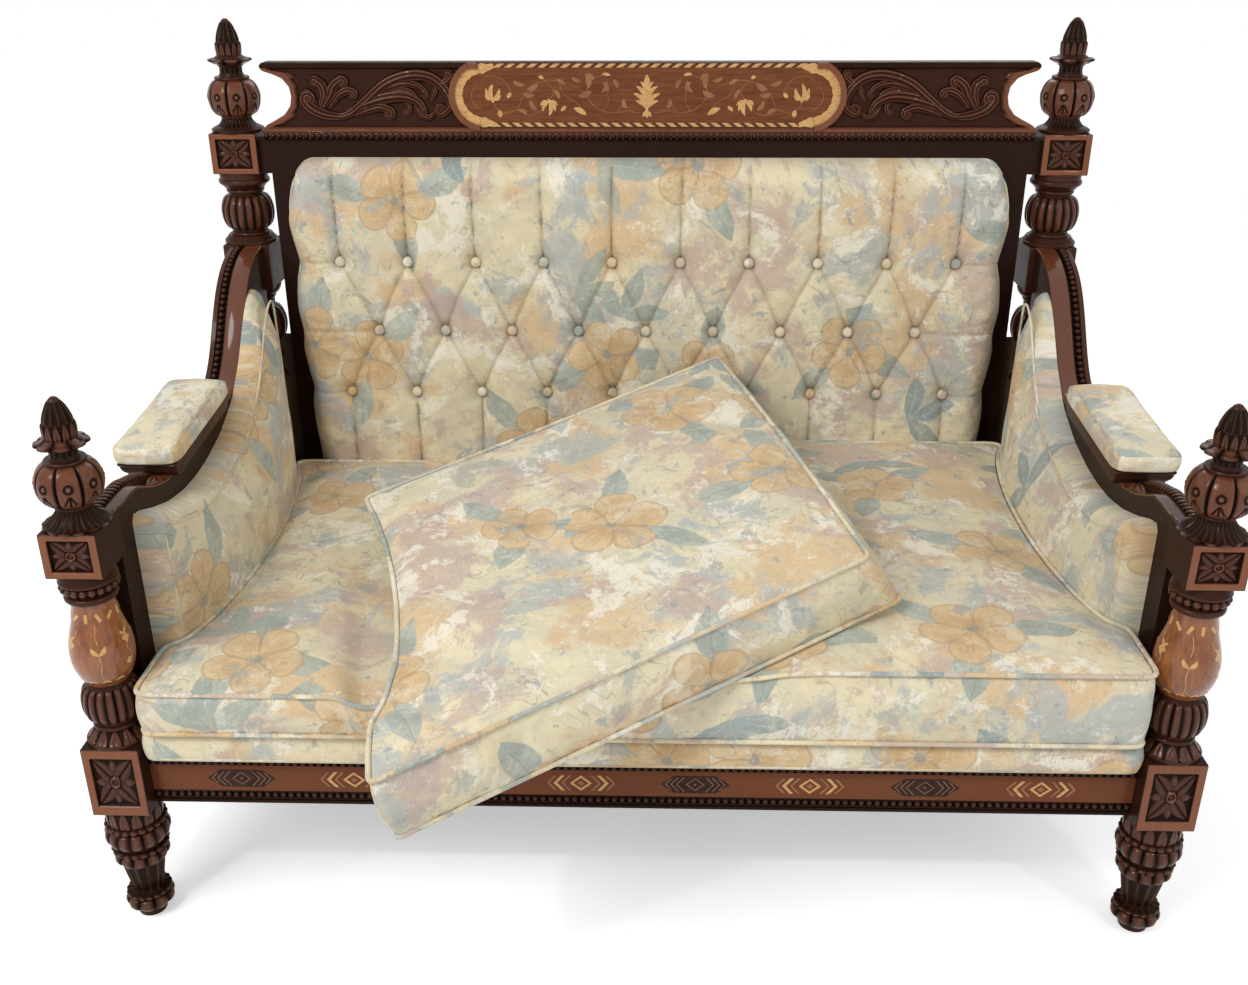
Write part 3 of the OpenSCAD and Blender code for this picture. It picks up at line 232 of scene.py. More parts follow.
class Workpiece:
    """The points and faces of a piece while it is shaped, in millimetres, with y measured
    back from the front posts' faces. Relief runs from 0 in a groove to 1 on a polished edge;
    on some pieces it also carries painted highlights and painted shade."""

    def __init__(self):
        self.points, self.relief, self.cloth = [], [], []
        self.quads, self.tris = [], []
        self.count = 0

    def grid(self, points, relief=0.5, cloth=None, ring=False, caps=False, flip=False):
        """Joins rows x columns of points with quads. ring joins the last column to the first,
        and caps closes the first and the last row with a fan on its middle."""
        rows, columns = points.shape[:2]
        relief = np.broadcast_to(relief, (rows, columns))
        cloth = np.zeros((rows, columns, 2)) if cloth is None else cloth
        numbers = np.arange(rows * columns).reshape(rows, columns) + self.count
        if ring:
            numbers = np.concatenate([numbers, numbers[:, :1]], axis=1)
        corners = [numbers[:-1, :-1], numbers[:-1, 1:], numbers[1:, 1:], numbers[1:, :-1]]
        self.quads.append(np.stack(corners[::-1] if flip else corners, axis=-1).reshape(-1, 4))
        self.points.append(points.reshape(-1, 3))
        self.relief.append(relief.ravel())
        self.cloth.append(cloth.reshape(-1, 2))
        self.count += rows * columns
        if caps:
            for row, turned_round in ((0, not flip), (-1, flip)):
                self.fan(numbers[row, :columns], points[row].mean(axis=0), relief[row, row],
                         cloth[row].mean(axis=0), turned_round)

    def fan(self, edge, middle, relief, cloth, turned_round):
        """Closes a loop of points with triangles on one middle point."""
        self.points.append(middle.reshape(1, 3))
        self.relief.append(np.array([relief]))
        self.cloth.append(np.asarray(cloth, float).reshape(1, 2))
        after = np.roll(edge, -1)
        hub = np.full(len(edge), self.count)
        self.tris.append(np.stack([edge, hub, after] if turned_round else [edge, after, hub], axis=-1))
        self.count += 1

    def mirrored(self):
        """The same piece for the other side of the sofa."""
        other = Workpiece()
        other.count = self.count
        other.relief = list(self.relief)
        other.points = [p * (-1.0, 1.0, 1.0) for p in self.points]
        other.cloth = [c * (-1.0, 1.0) for c in self.cloth]
        other.quads = [q[:, ::-1] for q in self.quads]
        other.tris = [t[:, ::-1] for t in self.tris]
        return other

    def make(self, name, finish, slot, stands_for="", body="frame", crease=40.0, weld=2e-5):
        """Turns the workpiece into an object in the frame's metres and fixes it to its body."""
        points = (np.concatenate(self.points) - ORIGIN) * MM
        quads = np.concatenate(self.quads)
        tris = np.concatenate(self.tris) if self.tris else np.zeros((0, 3), int)
        corners = np.concatenate([quads.ravel(), tris.ravel()]).astype(np.int32)
        starts = np.concatenate([np.arange(len(quads)) * 4, quads.size + np.arange(len(tris)) * 3])
        mesh = bpy.data.meshes.new(name)
        mesh.vertices.add(len(points))
        mesh.vertices.foreach_set("co", points.ravel())
        mesh.loops.add(len(corners))
        mesh.loops.foreach_set("vertex_index", corners)
        mesh.polygons.add(len(starts))
        mesh.polygons.foreach_set("loop_start", starts.astype(np.int32))
        mesh.update(calc_edges=True)
        relief = mesh.attributes.new("relief", "FLOAT", "POINT")
        relief.data.foreach_set("value", np.concatenate(self.relief).astype(np.float32))
        cloth = mesh.uv_layers.new(name="cloth")
        cloth.data.foreach_set("uv", np.concatenate(self.cloth)[corners].astype(np.float32).ravel())
        work = bmesh.new()
        work.from_mesh(mesh)
        bmesh.ops.remove_doubles(work, verts=work.verts, dist=weld)
        bmesh.ops.dissolve_degenerate(work, edges=work.edges, dist=1e-6)
        bmesh.ops.recalc_face_normals(work, faces=work.faces)
        work.to_mesh(mesh)
        work.free()
        mesh.shade_smooth()
        mesh.set_sharp_from_angle(angle=math.radians(crease))
        mesh.materials.append(finish.material)
        piece = bpy.data.objects.new(name, mesh)
        bpy.context.scene.collection.objects.link(piece)
        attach(piece, body)
        if stands_for:
            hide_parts(stands_for)
        return piece

    def make_pair(self, name, finish, slot, stands_for="", **more):
        """Makes the piece as it is for the right side, and mirrored for the left."""
        return [work.make(name.format(side), finish, slot, stands_for.format(side), **more)
                for side, work in (("left", self.mirrored()), ("right", self))]


def half_round(a):
    """Height of a half circle over -1 to 1."""
    return np.sqrt(np.clip(1.0 - a * a, 0.0, 1.0))


def bump_at(distance, width):
    """A soft rise of height 1 that fades over the width."""
    return np.exp(-(distance / width) ** 2)


def spokes(count):
    """Even turns round a circle."""
    return np.arange(count) * (2.0 * math.pi / count)


def round_axis(x, y, radius, turn, z):
    """Points at a radius and a turn round the upright axis at x, y."""
    return np.stack(np.broadcast_arrays(x + radius * np.cos(turn), y + radius * np.sin(turn), z), axis=-1)


# The carvings of a turned member. Over one repeat, a runs from -1 to 1 across and b from -1 to
# 1 upwards; height is the member's and reach half the repeat's width, both in millimetres.
# Each returns the change of the radius and the relief.
def lobes(a, b, height, reach, depth):
    cut = 1.0 - half_round(a)
    return -depth * cut, 0.86 - 0.86 * np.clip(cut * 1.5, 0.0, 1.0)


def flutes(a, b, height, reach, depth):
    cut = half_round(a) * np.clip((1.0 - b * b) * 5.0, 0.0, 1.0) ** 0.5
    return -depth * cut, 0.85 - 0.7 * cut


def beads(a, b, height, reach, depth):
    ball = np.sqrt(np.clip(1.0 - a * a - b * b * 0.9, 0.0, 1.0))
    return -depth * (1.0 - ball), 0.1 + 0.75 * ball


def tongues(a, b, height, reach, depth):
    outline = np.clip((half_round(b * 0.5 + 0.5) * 0.92 - np.abs(a)) * 7.0, 0.0, 1.0)
    vein = bump_at(a, 0.12) * 0.35 * outline
    return -depth * (1.0 - outline + vein), 0.15 + 0.65 * outline - 0.3 * vein


def skirt(a, b, height, reach, depth):
    cut = half_round(a) * 0.8 + 0.2 * bump_at(np.abs(a) - 0.5, 0.1)
    return -depth * cut * (0.675 - 0.325 * b), 0.75 - 0.6 * cut


def eyes(a, b, height, reach, depth):
    across, up = a * reach, b * height / 2.0
    eye = np.hypot(across, up - height * 0.06)
    ring, dot = bump_at(eye - 4.8, 1.5), bump_at(eye, 2.4)
    leaf = bump_at(np.abs(across) - (-height * 0.10 - up) * 0.55, 1.2)
    leaf = leaf * ((up < -height * 0.12) & (up > -height * 0.36))
    stem = bump_at(across, 0.9) * ((up < -height * 0.14) & (up > -height * 0.4))
    groove = bump_at(reach - np.abs(across), 1.9)
    cut = np.clip(groove + 0.6 * leaf + 0.6 * stem, 0.0, 1.0)
    shine = 0.9 - 0.9 * np.clip(cut * 1.3, 0.0, 1.0) - 0.85 * ring + 0.1 * dot
    return 1.1 * dot - 1.4 * ring + 0.5 * bump_at(eye - 7.4, 1.2) - depth * cut, shine


def turned(work, y, z, members, height, row=1.4, around=168):
    """Turns members from z upwards round a post's axis, scaled to fill the height. A member is
    its height, its radius at the bottom and the top, the swell of a half round between them,
    then its carving, the number of repeats and the depth. Row is the finest spacing upwards."""
    angle = spokes(around)
    total = sum(member[0] for member in members)
    radii, heights, relief = [], [], []
    for tall, low, high, swell, *carving in members:
        tall = tall * height / total
        inset = 0.02 if tall > 6 else 0.03
        v = np.linspace(inset, 1.0 - inset, max(3, int(tall / row) + 1))[:, None]
        r = np.repeat(low + (high - low) * v + swell * half_round(2.0 * v - 1.0), around, axis=1)
        shine = np.full(r.shape, 0.62 if swell > 0 else 0.5)
        if carving:
            pattern, count, depth = carving
            turn = count * angle / (2.0 * math.pi)
            a, b = np.broadcast_arrays(2.0 * (turn - np.floor(turn)) - 1.0, 2.0 * v - 1.0)
            change, shine = pattern(a, b, tall, math.pi * r.max() / count, depth)
            r = r + change
        radii.append(r)
        relief.append(shine)
        heights.append(z + tall * v)
        z += tall
    points = round_axis(POST_X, y, np.concatenate(radii), angle, np.concatenate(heights))
    work.grid(points, np.clip(np.concatenate(relief), 0.0, 1.0), ring=True, caps=True)


def flower(a, b, half_a, half_b):
    """The carving of a front block over a, b in millimetres from its middle: a flat border, a
    sunk field, four veined leaves to the corners, a ringed boss, and a small bud between each
    two leaves. Returns the depth, 0 on the border, and the relief."""
    edge = np.minimum(half_a - np.abs(a), half_b - np.abs(b))
    a, b = np.abs(a), np.abs(b) * (half_a / half_b)
    lift, side = np.maximum(a, b), np.minimum(a, b)
    field = half_a - 10.5
    sunk = np.clip((field - lift) / 1.6, 0.0, 1.0)
    reach = field * 1.30
    along = (a + b) * 0.7071
    across = (a - b) * 0.7071
    t = np.clip(along / reach, 0.0, 1.0)
    half = reach * 0.262 * np.sin(np.pi * t ** 0.85) ** 0.8 + 0.01
    inside = np.clip(1.0 - (across / half) ** 2, 0.0, 1.0)
    veins = 0.45 * bump_at(across, 1.0) * (inside > 0)
    veins = veins + 0.14 * np.abs(np.sin((along - np.abs(across) * 1.2) * 1.1)) * (inside > 0.05)
    leaf = np.sqrt(inside) * (0.50 + 0.55 * np.abs(across / half)) * (t < 1.0) - veins
    bud = 1.0 - ((lift - field * 0.66) / (field * 0.24)) ** 2 - (side / (field * 0.17)) ** 2
    bud = np.sqrt(np.clip(bud, 0.0, 1.0))
    twig = bump_at(side, 1.0) * (lift > field * 0.25) * (lift < field * 0.95) * 0.5
    far = np.hypot(a, b)
    boss = np.clip(bump_at(far - 5.6, 1.7) * 1.15 + bump_at(far, 2.3) * 1.05, 0.0, 1.3) * (far < 10)
    shape = np.maximum(np.maximum(leaf * 0.95, bud * 0.7), np.maximum(twig, boss))
    shape = np.where((far < 8.4), boss, shape)
    relief = np.where(sunk > 0.3, 0.18 + 0.80 * np.clip(shape, 0.0, 1.0) ** 0.7, 1.0)
    return sunk * (4.6 - 4.0 * np.clip(shape, 0.0, 1.15)), np.where(edge < 1.2, 0.8, relief)


def sunk_panel(a, b, half_a, half_b):
    """A plain field sunk 11 mm in from the block's edges: its depth and its relief."""
    depth = 2.2 * np.clip(np.minimum(half_a - 11 - np.abs(a), half_b - 11 - np.abs(b)) / 1.5, 0, 1)
    return depth, np.where(depth > 1, 0.5, 0.62)


def ticks(half, fine):
    """Places along a block's edge of half length, closer together near its ends."""
    ends = np.array([0.0, 0.35, 0.9, 1.7])
    inner = np.linspace(-half + 2.6, half - 2.6, max(2, int(2 * half / fine)))
    return np.concatenate([-half + ends, inner, (half - ends)[::-1]])


def post_block(work, y_middle, z, side, height, cut=None, fine=16.0):
    """A square block: a box with small rounded edges. Its front face is cut by a pattern, with
    points a fine step apart."""
    round_edge = 1.6
    half = np.array([side / 2, side / 2, height / 2])
    centre = np.array([POST_X, y_middle, z + height / 2])
    for axis in range(3):
        u, v = [i for i in range(3) if i != axis]
        for way in (-1.0, 1.0):
            front = cut is not None and axis == 1 and way < 0
            a, b = np.meshgrid(*(ticks(half[i], fine if front else 16.0) for i in (u, v)), indexing="ij")
            q = np.zeros(a.shape + (3,))
            q[..., u], q[..., v], q[..., axis] = a, b, way * half[axis]
            inner = np.clip(q, round_edge - half, half - round_edge)
            q = inner + round_edge * (q - inner) / np.linalg.norm(q - inner, axis=-1, keepdims=True)
            relief = 0.42
            if front:
                depth, relief = cut(a, b, half[u], half[v])
                q[..., axis] += depth
            work.grid(q + centre, relief, flip=(way > 0) == (axis == 1))


leg = [(12, 20, 22, 0), (3, 22, 25, 0), (20, 25.5, 26.5, 8.5, lobes, 9, 5.0),
       (8, 27, 30, 3.5, beads, 18, 3.0), (52, 21.5, 31, 0, flutes, 12, 3.6), (4, 31, 33, 0),
       (18, 33, 33, 6, lobes, 12, 4.2), (9, 35, 37, 4.5, beads, 20, 3.6), (7, 34, 36, 0),
       (27, 37, 38, 8, lobes, 15, 4.2), (10, 38, 39, 5, beads, 22, 3.8), (28, 38, 37, 2.0, tongues, 14, 2.0)]
front_column = [(5, 41, 41.5, 0.8), (17, 41, 29, -1.5, tongues, 12, 2.6), (6, 28, 28, 2.0), (7, 27, 29, 0),
                (52, 29.5, 29.5, 10.5, lobes, 18, 4.4), (5, 30, 28, 0), (3, 28.5, 28.5, 1)]
front_column_head = [(9, 31, 31, 3.6), (4, 30, 33, 0), (13, 33.5, 33.5, 5.4, beads, 20, 4.8), (4, 37, 38, 1),
                     (13, 38, 35, 0)]
back_low_column = [(9, 42, 42, 1), (13, 41, 31, 0), (6, 29, 29, 2), (58, 31, 31, 13.5, lobes, 16, 4.4),
                   (8, 31, 27, 0), (6, 26, 26, 2), (118, 25.5, 25.5, 7.5, flutes, 14, 2.2), (6, 27, 27, 3),
                   (10, 28, 36, 0), (16, 38, 38, 5, beads, 22, 4.2), (12, 32, 27, 0), (8, 26, 26, 2),
                   (24, 34, 34, 6, lobes, 12, 4), (10, 30, 28, 0), (68, 28, 28, 19, lobes, 16, 5.0),
                   (14, 28, 29, 0), (10, 29, 29, 3), (12, 36, 42, 2), (2, 43, 43, 0)]
back_up_column = [(6, 46, 46, 0.6), (9, 45, 38, 0), (6, 32, 30, 2.2), (4, 29, 29, 0),
                  (60, 31, 31, 15.5, lobes, 18, 4.6), (4, 29, 29, 0), (7, 30, 31, 2.6), (9, 33, 41, 0),
                  (9, 42, 42, 2.4), (12, 41, 41, 1)]
front_finial_turning = [(3, 42, 43, 0, lobes, 14, 2.5), (22, 43, 25, -5.5, skirt, 28, 3.2), (4, 22, 22, 1.5),
                        (3, 24, 26, 0), (56, 25.5, 24, 17.5, eyes, 8, 3.6), (4, 25, 25, 1.6), (5, 19, 17, 0),
                        (8, 17.5, 18, 0, flutes, 14, 1.2), (4, 20, 23, 0), (3, 26, 33, 0, lobes, 8, 4.0),
                        (3.5, 34, 33, 0.6, lobes, 8, 4.5), (4, 27, 21, 0, lobes, 8, 2.5),
                        (21, 20, 20.5, 1.2, tongues, 12, 2.4), (28.5, 18.5, 7.5, 3.2, flutes, 12, 1.9),
                        (5, 7, 2.2, 1.2)]
back_finial_turning = [(5, 44, 45, 0), (4, 45, 38, 0), (14, 37, 27, -3.0, flutes, 28, 1.2), (4, 25, 26, 1),
                       (62, 26, 26, 18.5, eyes, 8, 3.6), (5, 28, 28, 1.8), (5, 22, 20, 0),
                       (12, 20, 20, -0.5, flutes, 14, 1.2), (4, 21, 24, 0), (5, 27, 36, 0, lobes, 8, 2.2),
                       (4, 37, 36, 0.6, lobes, 8, 2.6), (5, 28, 22, 0),
                       (22, 20.5, 21.5, 0.8, tongues, 12, 2.2), (34, 19.5, 7.5, 3.4, flutes, 12, 1.9),
                       (5, 7, 2.0, 1.2)]


def column(work, y, z, members, height, row=1.4):
    """Turns a column between two blocks, let 0.4 mm into each."""
    turned(work, y, z - 0.4, members, height + 0.8, row)


front_post, back_post = Workpiece(), Workpiece()
column(front_post, FRONT_Y, 0.4, leg, 197.6)
post_block(front_post, FRONT_Y, 198.0, 80.0, 110.0, flower, 1.15)
column(front_post, FRONT_Y, 308.0, front_column, 95.0)
column(front_post, FRONT_Y, 527.0, front_column_head, 43.0)
post_block(front_post, FRONT_Y, 570.0, 75.0, 63.0, flower, 1.15)
column(back_post, BACK_Y, 0.4, leg, 197.6)
post_block(back_post, BACK_Y, 198.0, 80.0, 110.0)
column(back_post, BACK_Y, 308.0, back_low_column, 410.0, row=2.0)
post_block(back_post, BACK_Y, 718.0, 82.0, 82.0, sunk_panel, 2.0)
column(back_post, BACK_Y, 800.0, back_up_column, 126.0)
post_block(back_post, BACK_Y, 926.0, 82.0, 69.0, flower, 1.15)
front_finial, back_finial = Workpiece(), Workpiece()
turned(front_finial, FRONT_Y, 633.0, front_finial_turning, 172.0, 1.2, 208)
turned(back_finial, BACK_Y, 995.0, back_finial_turning, 186.0, 1.2, 208)


def mahogany(name, tones, grain=(26.0, 26.0, 3.0), roughness=0.32, coat=0.42, level=None):
    """French-polished mahogany. Its tone runs from the first colour, in grooves, to the last, on
    rubbed edges, by the relief attribute or one level, and so also shows the painted highlights
    and painted shade that some pieces carry in their relief; grain runs along the axis of low scale."""
    finish = Finish(name)
    place = finish.here()
    relief = finish.node("Attribute", {"attribute_name": "relief"}, {}, 2) if level is None else level
    streaks = finish.noise(finish.moved(place, Scale=grain), 7.0, 6.0, 0.62, 0.5)
    clouds = finish.noise(place, 9.0, 2.0)
    tone = (relief + (streaks - 0.5) * 0.22 + (clouds - 0.5) * 0.16).max(0.0).min(1.0)
    uneven = finish.noise(place, 60.0, 3.0)
    hollows = (0.5 - relief).max(0.0) * 0.25 if level is None else 0.0
    polish = relief.step(0.38, 0.92) * coat + 0.03 if level is None else 0.06
    return finish.set(Base_Color=finish.ramp(tone, tones), Specular_IOR_Level=0.04, Coat_Weight=polish,
                      Roughness=(uneven - 0.5) * 0.22 + roughness + hollows, Coat_Roughness=0.06,
                      Normal=finish.bump(streaks * 0.7 + uneven * 0.3, 0.12, 0.0006))


def veneer(name, tones, grain, scale, detail, bend=0.0, **gloss):
    """Thin polished veneer with a cloudy figure drawn along the axis of low grain."""
    finish = Finish(name)
    figure = finish.noise(finish.moved(finish.here(), Scale=grain), scale, detail, bend=bend)
    return finish.set(Base_Color=finish.ramp(figure, tones), **gloss)


CARVED_TONES = [(0.0, (0.0040, 0.0019, 0.0013)), (0.35, (0.020, 0.0082, 0.0046)),
                (0.62, (0.048, 0.0158, 0.0080)), (0.85, (0.094, 0.0295, 0.0130)),
                (1.0, (0.205, 0.066, 0.026))]
carved_wood = mahogany("carved_mahogany", CARVED_TONES)

# The amber baluster on each front column: polished maple stained orange, with rings of pale
# slips, small tulips and diamonds let into it on fine stems.
AMBER_TONES = [(0.25, (0.13, 0.034, 0.0085)), (0.5, (0.225, 0.068, 0.016)), (0.75, (0.31, 0.108, 0.027))]
PALE_TONES = [(0.3, (0.46, 0.235, 0.075)), (0.7, (0.66, 0.39, 0.150))]
baluster_stain = veneer("amber_baluster", AMBER_TONES, (30.0, 30.0, 8.0), 3.0, 5.0, 1.2, Roughness=0.24,
                        Specular_IOR_Level=0.35, Coat_Weight=0.5, Coat_Roughness=0.08)
pale_slips = veneer("pale_inlay", PALE_TONES, (40.0, 40.0, 90.0), 4.0, 3.0, Roughness=0.30,
                    Specular_IOR_Level=0.3, Coat_Weight=0.3, Coat_Roughness=0.1)
BALUSTER_Z = 403.0
BALUSTER_LINE = [(0, 28.0), (4, 31.5), (12, 36.0), (24, 40.0), (36, 41.8), (48, 42.0), (60, 40.6), (74, 37.0),
                 (90, 32.4), (104, 29.4), (115, 28.0), (124, 27.6)]


def baluster_radius(h):
    """Smooth run through the radii of the baluster's line."""
    heights, radii = np.array(BALUSTER_LINE, float).T
    fine = np.linspace(0, heights[-1], 249)
    padded = np.pad(np.interp(fine, heights, radii), 8, mode="edge")
    return np.interp(h, fine, np.convolve(padded, np.ones(17) / 17.0, mode="valid"))


baluster = Workpiece()
rise = np.linspace(-0.5, 124.5, 90)[:, None]
baluster.grid(round_axis(POST_X, FRONT_Y, baluster_radius(rise), spokes(128), BALUSTER_Z + rise),
              ring=True, caps=True)


def on_baluster(work, outline, turn_at, h, tilt=0.0):
    """Lays a thin slip on the baluster. The outline is a strip of across, up pairs in millimetres,
    rows x 2 x 2, turned by the tilt, then wrapped round the radius at its own height."""
    c, s = math.cos(tilt), math.sin(tilt)
    across = outline[..., 0] * c - outline[..., 1] * s
    up = outline[..., 0] * s + outline[..., 1] * c + h
    radius = baluster_radius(up)
    low, high = (round_axis(POST_X, FRONT_Y, radius + lift, turn_at + across / radius, BALUSTER_Z + up)
                 for lift in (-0.5, 0.35))
    rim = np.stack([low[:, 0], high[:, 0], high[:, 1], low[:, 1]])
    work.grid(rim, 0.8)
    work.grid(np.stack([low[:, 1], low[:, 0]]), 0.8)
    for end in (0, -1):
        work.grid(rim[[[0, 1], [3, 2]], end], 0.8)


def leaf_strip(length, width, lean):
    """A leaf whose width falls to nothing at both ends, bowed by the lean."""
    t = np.linspace(0.0, 1.0, 9)
    half = width * 0.5 * np.sin(np.pi * t) ** 0.8 + 0.05
    curve = lean * length * np.sin(np.pi * t * 0.9)
    return np.stack([np.stack([curve + way * half, t * length], -1) for way in (-1, 1)], axis=1)


def unit(steps):
    """The same directions, each of length 1."""
    return steps / np.linalg.norm(steps, axis=-1, keepdims=True)


def left_of(direction):
    """The flat direction a quarter turn anticlockwise from each."""
    return np.stack([-direction[..., 1], direction[..., 0]], axis=-1)


def stem_strip(points, width):
    """A thin line of even width through points."""
    points = np.asarray(points, float)
    t, fine = (np.linspace(0, 1, n * len(points)) for n in (1, 4))
    line = np.stack([np.interp(fine, t, points[:, i]) for i in range(2)], axis=-1)
    side = left_of(unit(np.gradient(line, axis=0)))
    return np.stack([line - side * width / 2, line + side * width / 2], axis=1)


baluster_slips = Workpiece()
for i, tilt in enumerate((0.0, 0.75, -0.45) * 4):
    at = i * math.pi / 6.0
    on_baluster(baluster_slips, stem_strip([(0, -6), (0, 6)], 4.2), at, 104.0, tilt)
    on_baluster(baluster_slips, stem_strip([(-5.5, 0), (0, 3.4), (5.5, 0)], 2.6), at + 0.12, 9.0)
for i in range(3):
    tulip, diamond = ((2 * i + n) * math.pi / 3.0 + 0.2 for n in (0, 1))
    for way in (-1, 1):
        on_baluster(baluster_slips, leaf_strip(15.0, 6.0, 0.12 * way), tulip, 54.0, -0.62 * way)
        on_baluster(baluster_slips, leaf_strip(8.5, 3.6, 0.1), diamond, 72.0, 0.9 * way)
    for at, width, stem in (
            (tulip, 0.9, [(0, 54), (-1.5, 40), (1.5, 26), (0, 14)]),
            (tulip, 0.8, [(0, 70), (1.5, 80), (-1, 96)]),
            (diamond, 0.8, [(-9, 88), (-7, 78), (-2, 73), (0, 66), (4, 52), (-2, 42), (0, 33)])):
        on_baluster(baluster_slips, stem_strip(stem, width), at, 0.0)
    on_baluster(baluster_slips, stem_strip([(-5.5, 0), (5.5, 0)], 10.0), diamond, 66.0, 0.785)
    on_baluster(baluster_slips, stem_strip([(-4.2, 0), (4.2, 0)], 8.4), diamond + 0.08, 33.0, 0.5)

for work, name in ((front_post, "front_post_{}"), (back_post, "back_post_{}"),
                   (front_finial, "front_finial_{}"), (back_finial, "back_finial_{}")):
    work.make_pair(name + "_carved", carved_wood, "dark_wood", name)
baluster.make_pair("front_baluster_{}", baluster_stain, "inlay_wood")
baluster_slips.make_pair("front_baluster_slips_{}", pale_slips, "inlay_wood")


# Front rail. A mahogany rail is tenoned between the posts; on its face lies a strip of redder
# wood with eight motifs of slips, light and dark in turn, between two rows of turned beads.
RAIL_HALF = 679.7
MOTIF_Z, MOTIF_PITCH = 245.2, 158.0
RED_TONES = [(0.0, (0.060, 0.018, 0.008)), (0.5, (0.150, 0.047, 0.019)), (1.0, (0.225, 0.080, 0.033))]
red_wood = mahogany("red_strip", RED_TONES, grain=(2.2, 30.0, 30.0))


def moulded_bar(work, half, section, relief):
    """Carries a section of y, z points from -half to half along x, with closed ends."""
    section = np.asarray(section, float)
    xs = np.linspace(-half, half, int(half / 10.0) + 1)[:, None]
    bar = np.stack(np.broadcast_arrays(xs, section[:, 0], section[:, 1]), axis=-1)
    work.grid(bar, relief, ring=True, caps=True)


rail_strip = Workpiece()
moulded_bar(rail_strip, RAIL_HALF, [(30.0, 223.0), (27.4, 223.6), (27.0, 225.0), (27.0, 265.4), (27.4, 266.8),
                                    (30.0, 267.4)], 0.55)
rail_strip.make("front_rail_panel", red_wood, "red_wood", "front_rail_strip", crease=30.0)

rail_edges = Workpiece()
for low, high, front in ((266.6, 268.6, 26.2), (274.6, 278.6, 26.2), (221.9, 223.9, 26.2),
                         (211.6, 214.6, 24.6), (204.4, 209.6, 24.6)):
    moulded_bar(rail_edges, RAIL_HALF, [(31.0, low), (front + 0.8, low), (front, (low + high) / 2),
                                        (front + 0.8, high), (31.0, high)], 0.32)
rail_edges.make("front_rail_fillets", carved_wood, "dark_wood", crease=30.0)


def bead_row(work, points, radius, way=(0.0, -1.0, 0.0), rows=6, around=10):
    """Half-sunk turned beads with their centres on the points: low globes, painted lighter where they face
    the way, with painted shade at the foot.
    """
    polar = np.linspace(0.10, math.pi - 0.10, rows)[:, None]
    globe = round_axis(0.0, 0.0, np.sin(polar), spokes(around), np.cos(polar))
    # painted highlight and shade: each point of a globe is lighter the more it faces the way, as if lit from
    # there, and darkest at its foot
    shine = np.clip(0.02 + 0.70 * (globe @ np.asarray(way)), 0.02, 1.0)
    for point in points:
        work.grid(point + radius * globe, shine, ring=True, caps=True)


def straight_row(half, count, y, z):
    """Points an even step apart from -half to half along x."""
    return np.stack(np.broadcast_arrays(np.linspace(-half, half, count), y, z), axis=-1)


for name, z in (("upper", 271.7), ("lower", 218.3)):
    rail_beads = Workpiece()
    bead_row(rail_beads, straight_row(674.0, 123, 28.4, z), 4.9)
    rail_beads.make("front_beads_" + name, carved_wood, "dark_wood", "front_bead_" + name, crease=70.0)


def in_plane(line, y):
    """Points of x, z set at the depth y."""
    return np.stack(np.broadcast_arrays(line[..., 0], y, line[..., 1]), axis=-1)


def flat_slip(work, outline, y_back, y_front, relief=0.8):
    """A thin slip of veneer: an outline of x, z points, anticlockwise from the front, stood proud."""
    outline = np.asarray(outline, float)
    layers = np.stack([in_plane(outline, y) for y in (y_back, y_front)])
    work.grid(layers, relief, ring=True, caps=True)


def chevron(x, rise, width, way):
    """The two halves of one V on its side, with its point at x and its arms running back."""
    back = x - way * rise * 0.86
    tip, heel = (x, 0.0), (x - way * width, 0.0)
    return [np.array(half) for half in ([tip, (back, rise), (back - way * width, rise), heel],
                                        [tip, heel, (back - way * width, -rise), (back, -rise)])]


light_motifs, dark_motifs, tan_lines = Workpiece(), Workpiece(), Workpiece()
TIPS = np.array([(1.2, 0.0), (0.0, 1.0), (-1.2, 0.0), (0.0, -1.0)])
DARK_FIELD = np.array([(47.6, 0.0), (29.0, 14.4), (-29.0, 14.4), (-47.6, 0.0), (-29.0, -14.4), (29.0, -14.4)])
PALE_CHEVRONS = ((tan_lines, 27.5, 12.8, 3.4), (light_motifs, 38.2, 12.8, 5.0), (tan_lines, 47.6, 12.0, 3.4))
DARK_CHEVRONS = ((tan_lines, 26.0, 12.0, 1.3), (tan_lines, 34.0, 11.6, 1.3), (tan_lines, 41.5, 9.0, 1.3))
PALE_MOTIF = (PALE_CHEVRONS, (light_motifs, 12.8, 9.0), 4.2)
DARK_MOTIF = (DARK_CHEVRONS, (tan_lines, 10.6, 9.5), 1.6)
for i in range(8):
    at = np.array([(i - 3.5) * MOTIF_PITCH, MOTIF_Z])
    chevrons, (lozenge, outer, inner), core = PALE_MOTIF if i % 2 else DARK_MOTIF
    if not i % 2:
        flat_slip(dark_motifs, DARK_FIELD + at, 28.0, 26.7)
    for way in (-1.0, 1.0):
        for work, tip, rise, wide in chevrons:
            for half in chevron(way * tip, rise, wide, way):
                flat_slip(work, half + at, 28.0, 26.5)
    for a, b in zip(TIPS, np.roll(TIPS, -1, axis=0)):
        flat_slip(lozenge, np.array([a * outer, b * outer, b * inner, a * inner]) + at, 28.0, 26.5)
    flat_slip(tan_lines, TIPS * core + at, 28.0, 26.5)
DARK_SLIP_TONES = [(0.3, (0.020, 0.010, 0.007)), (0.8, (0.050, 0.024, 0.016))]
TAN_TONES = [(0.3, (0.205, 0.078, 0.025)), (0.7, (0.31, 0.132, 0.044))]
EVEN_GRAIN = (1.0, 1.0, 1.0)
ebony = veneer("dark_slips", DARK_SLIP_TONES, EVEN_GRAIN, 90.0, 3.0, Roughness=0.35, Specular_IOR_Level=0.08,
               Coat_Weight=0.06, Coat_Roughness=0.12)
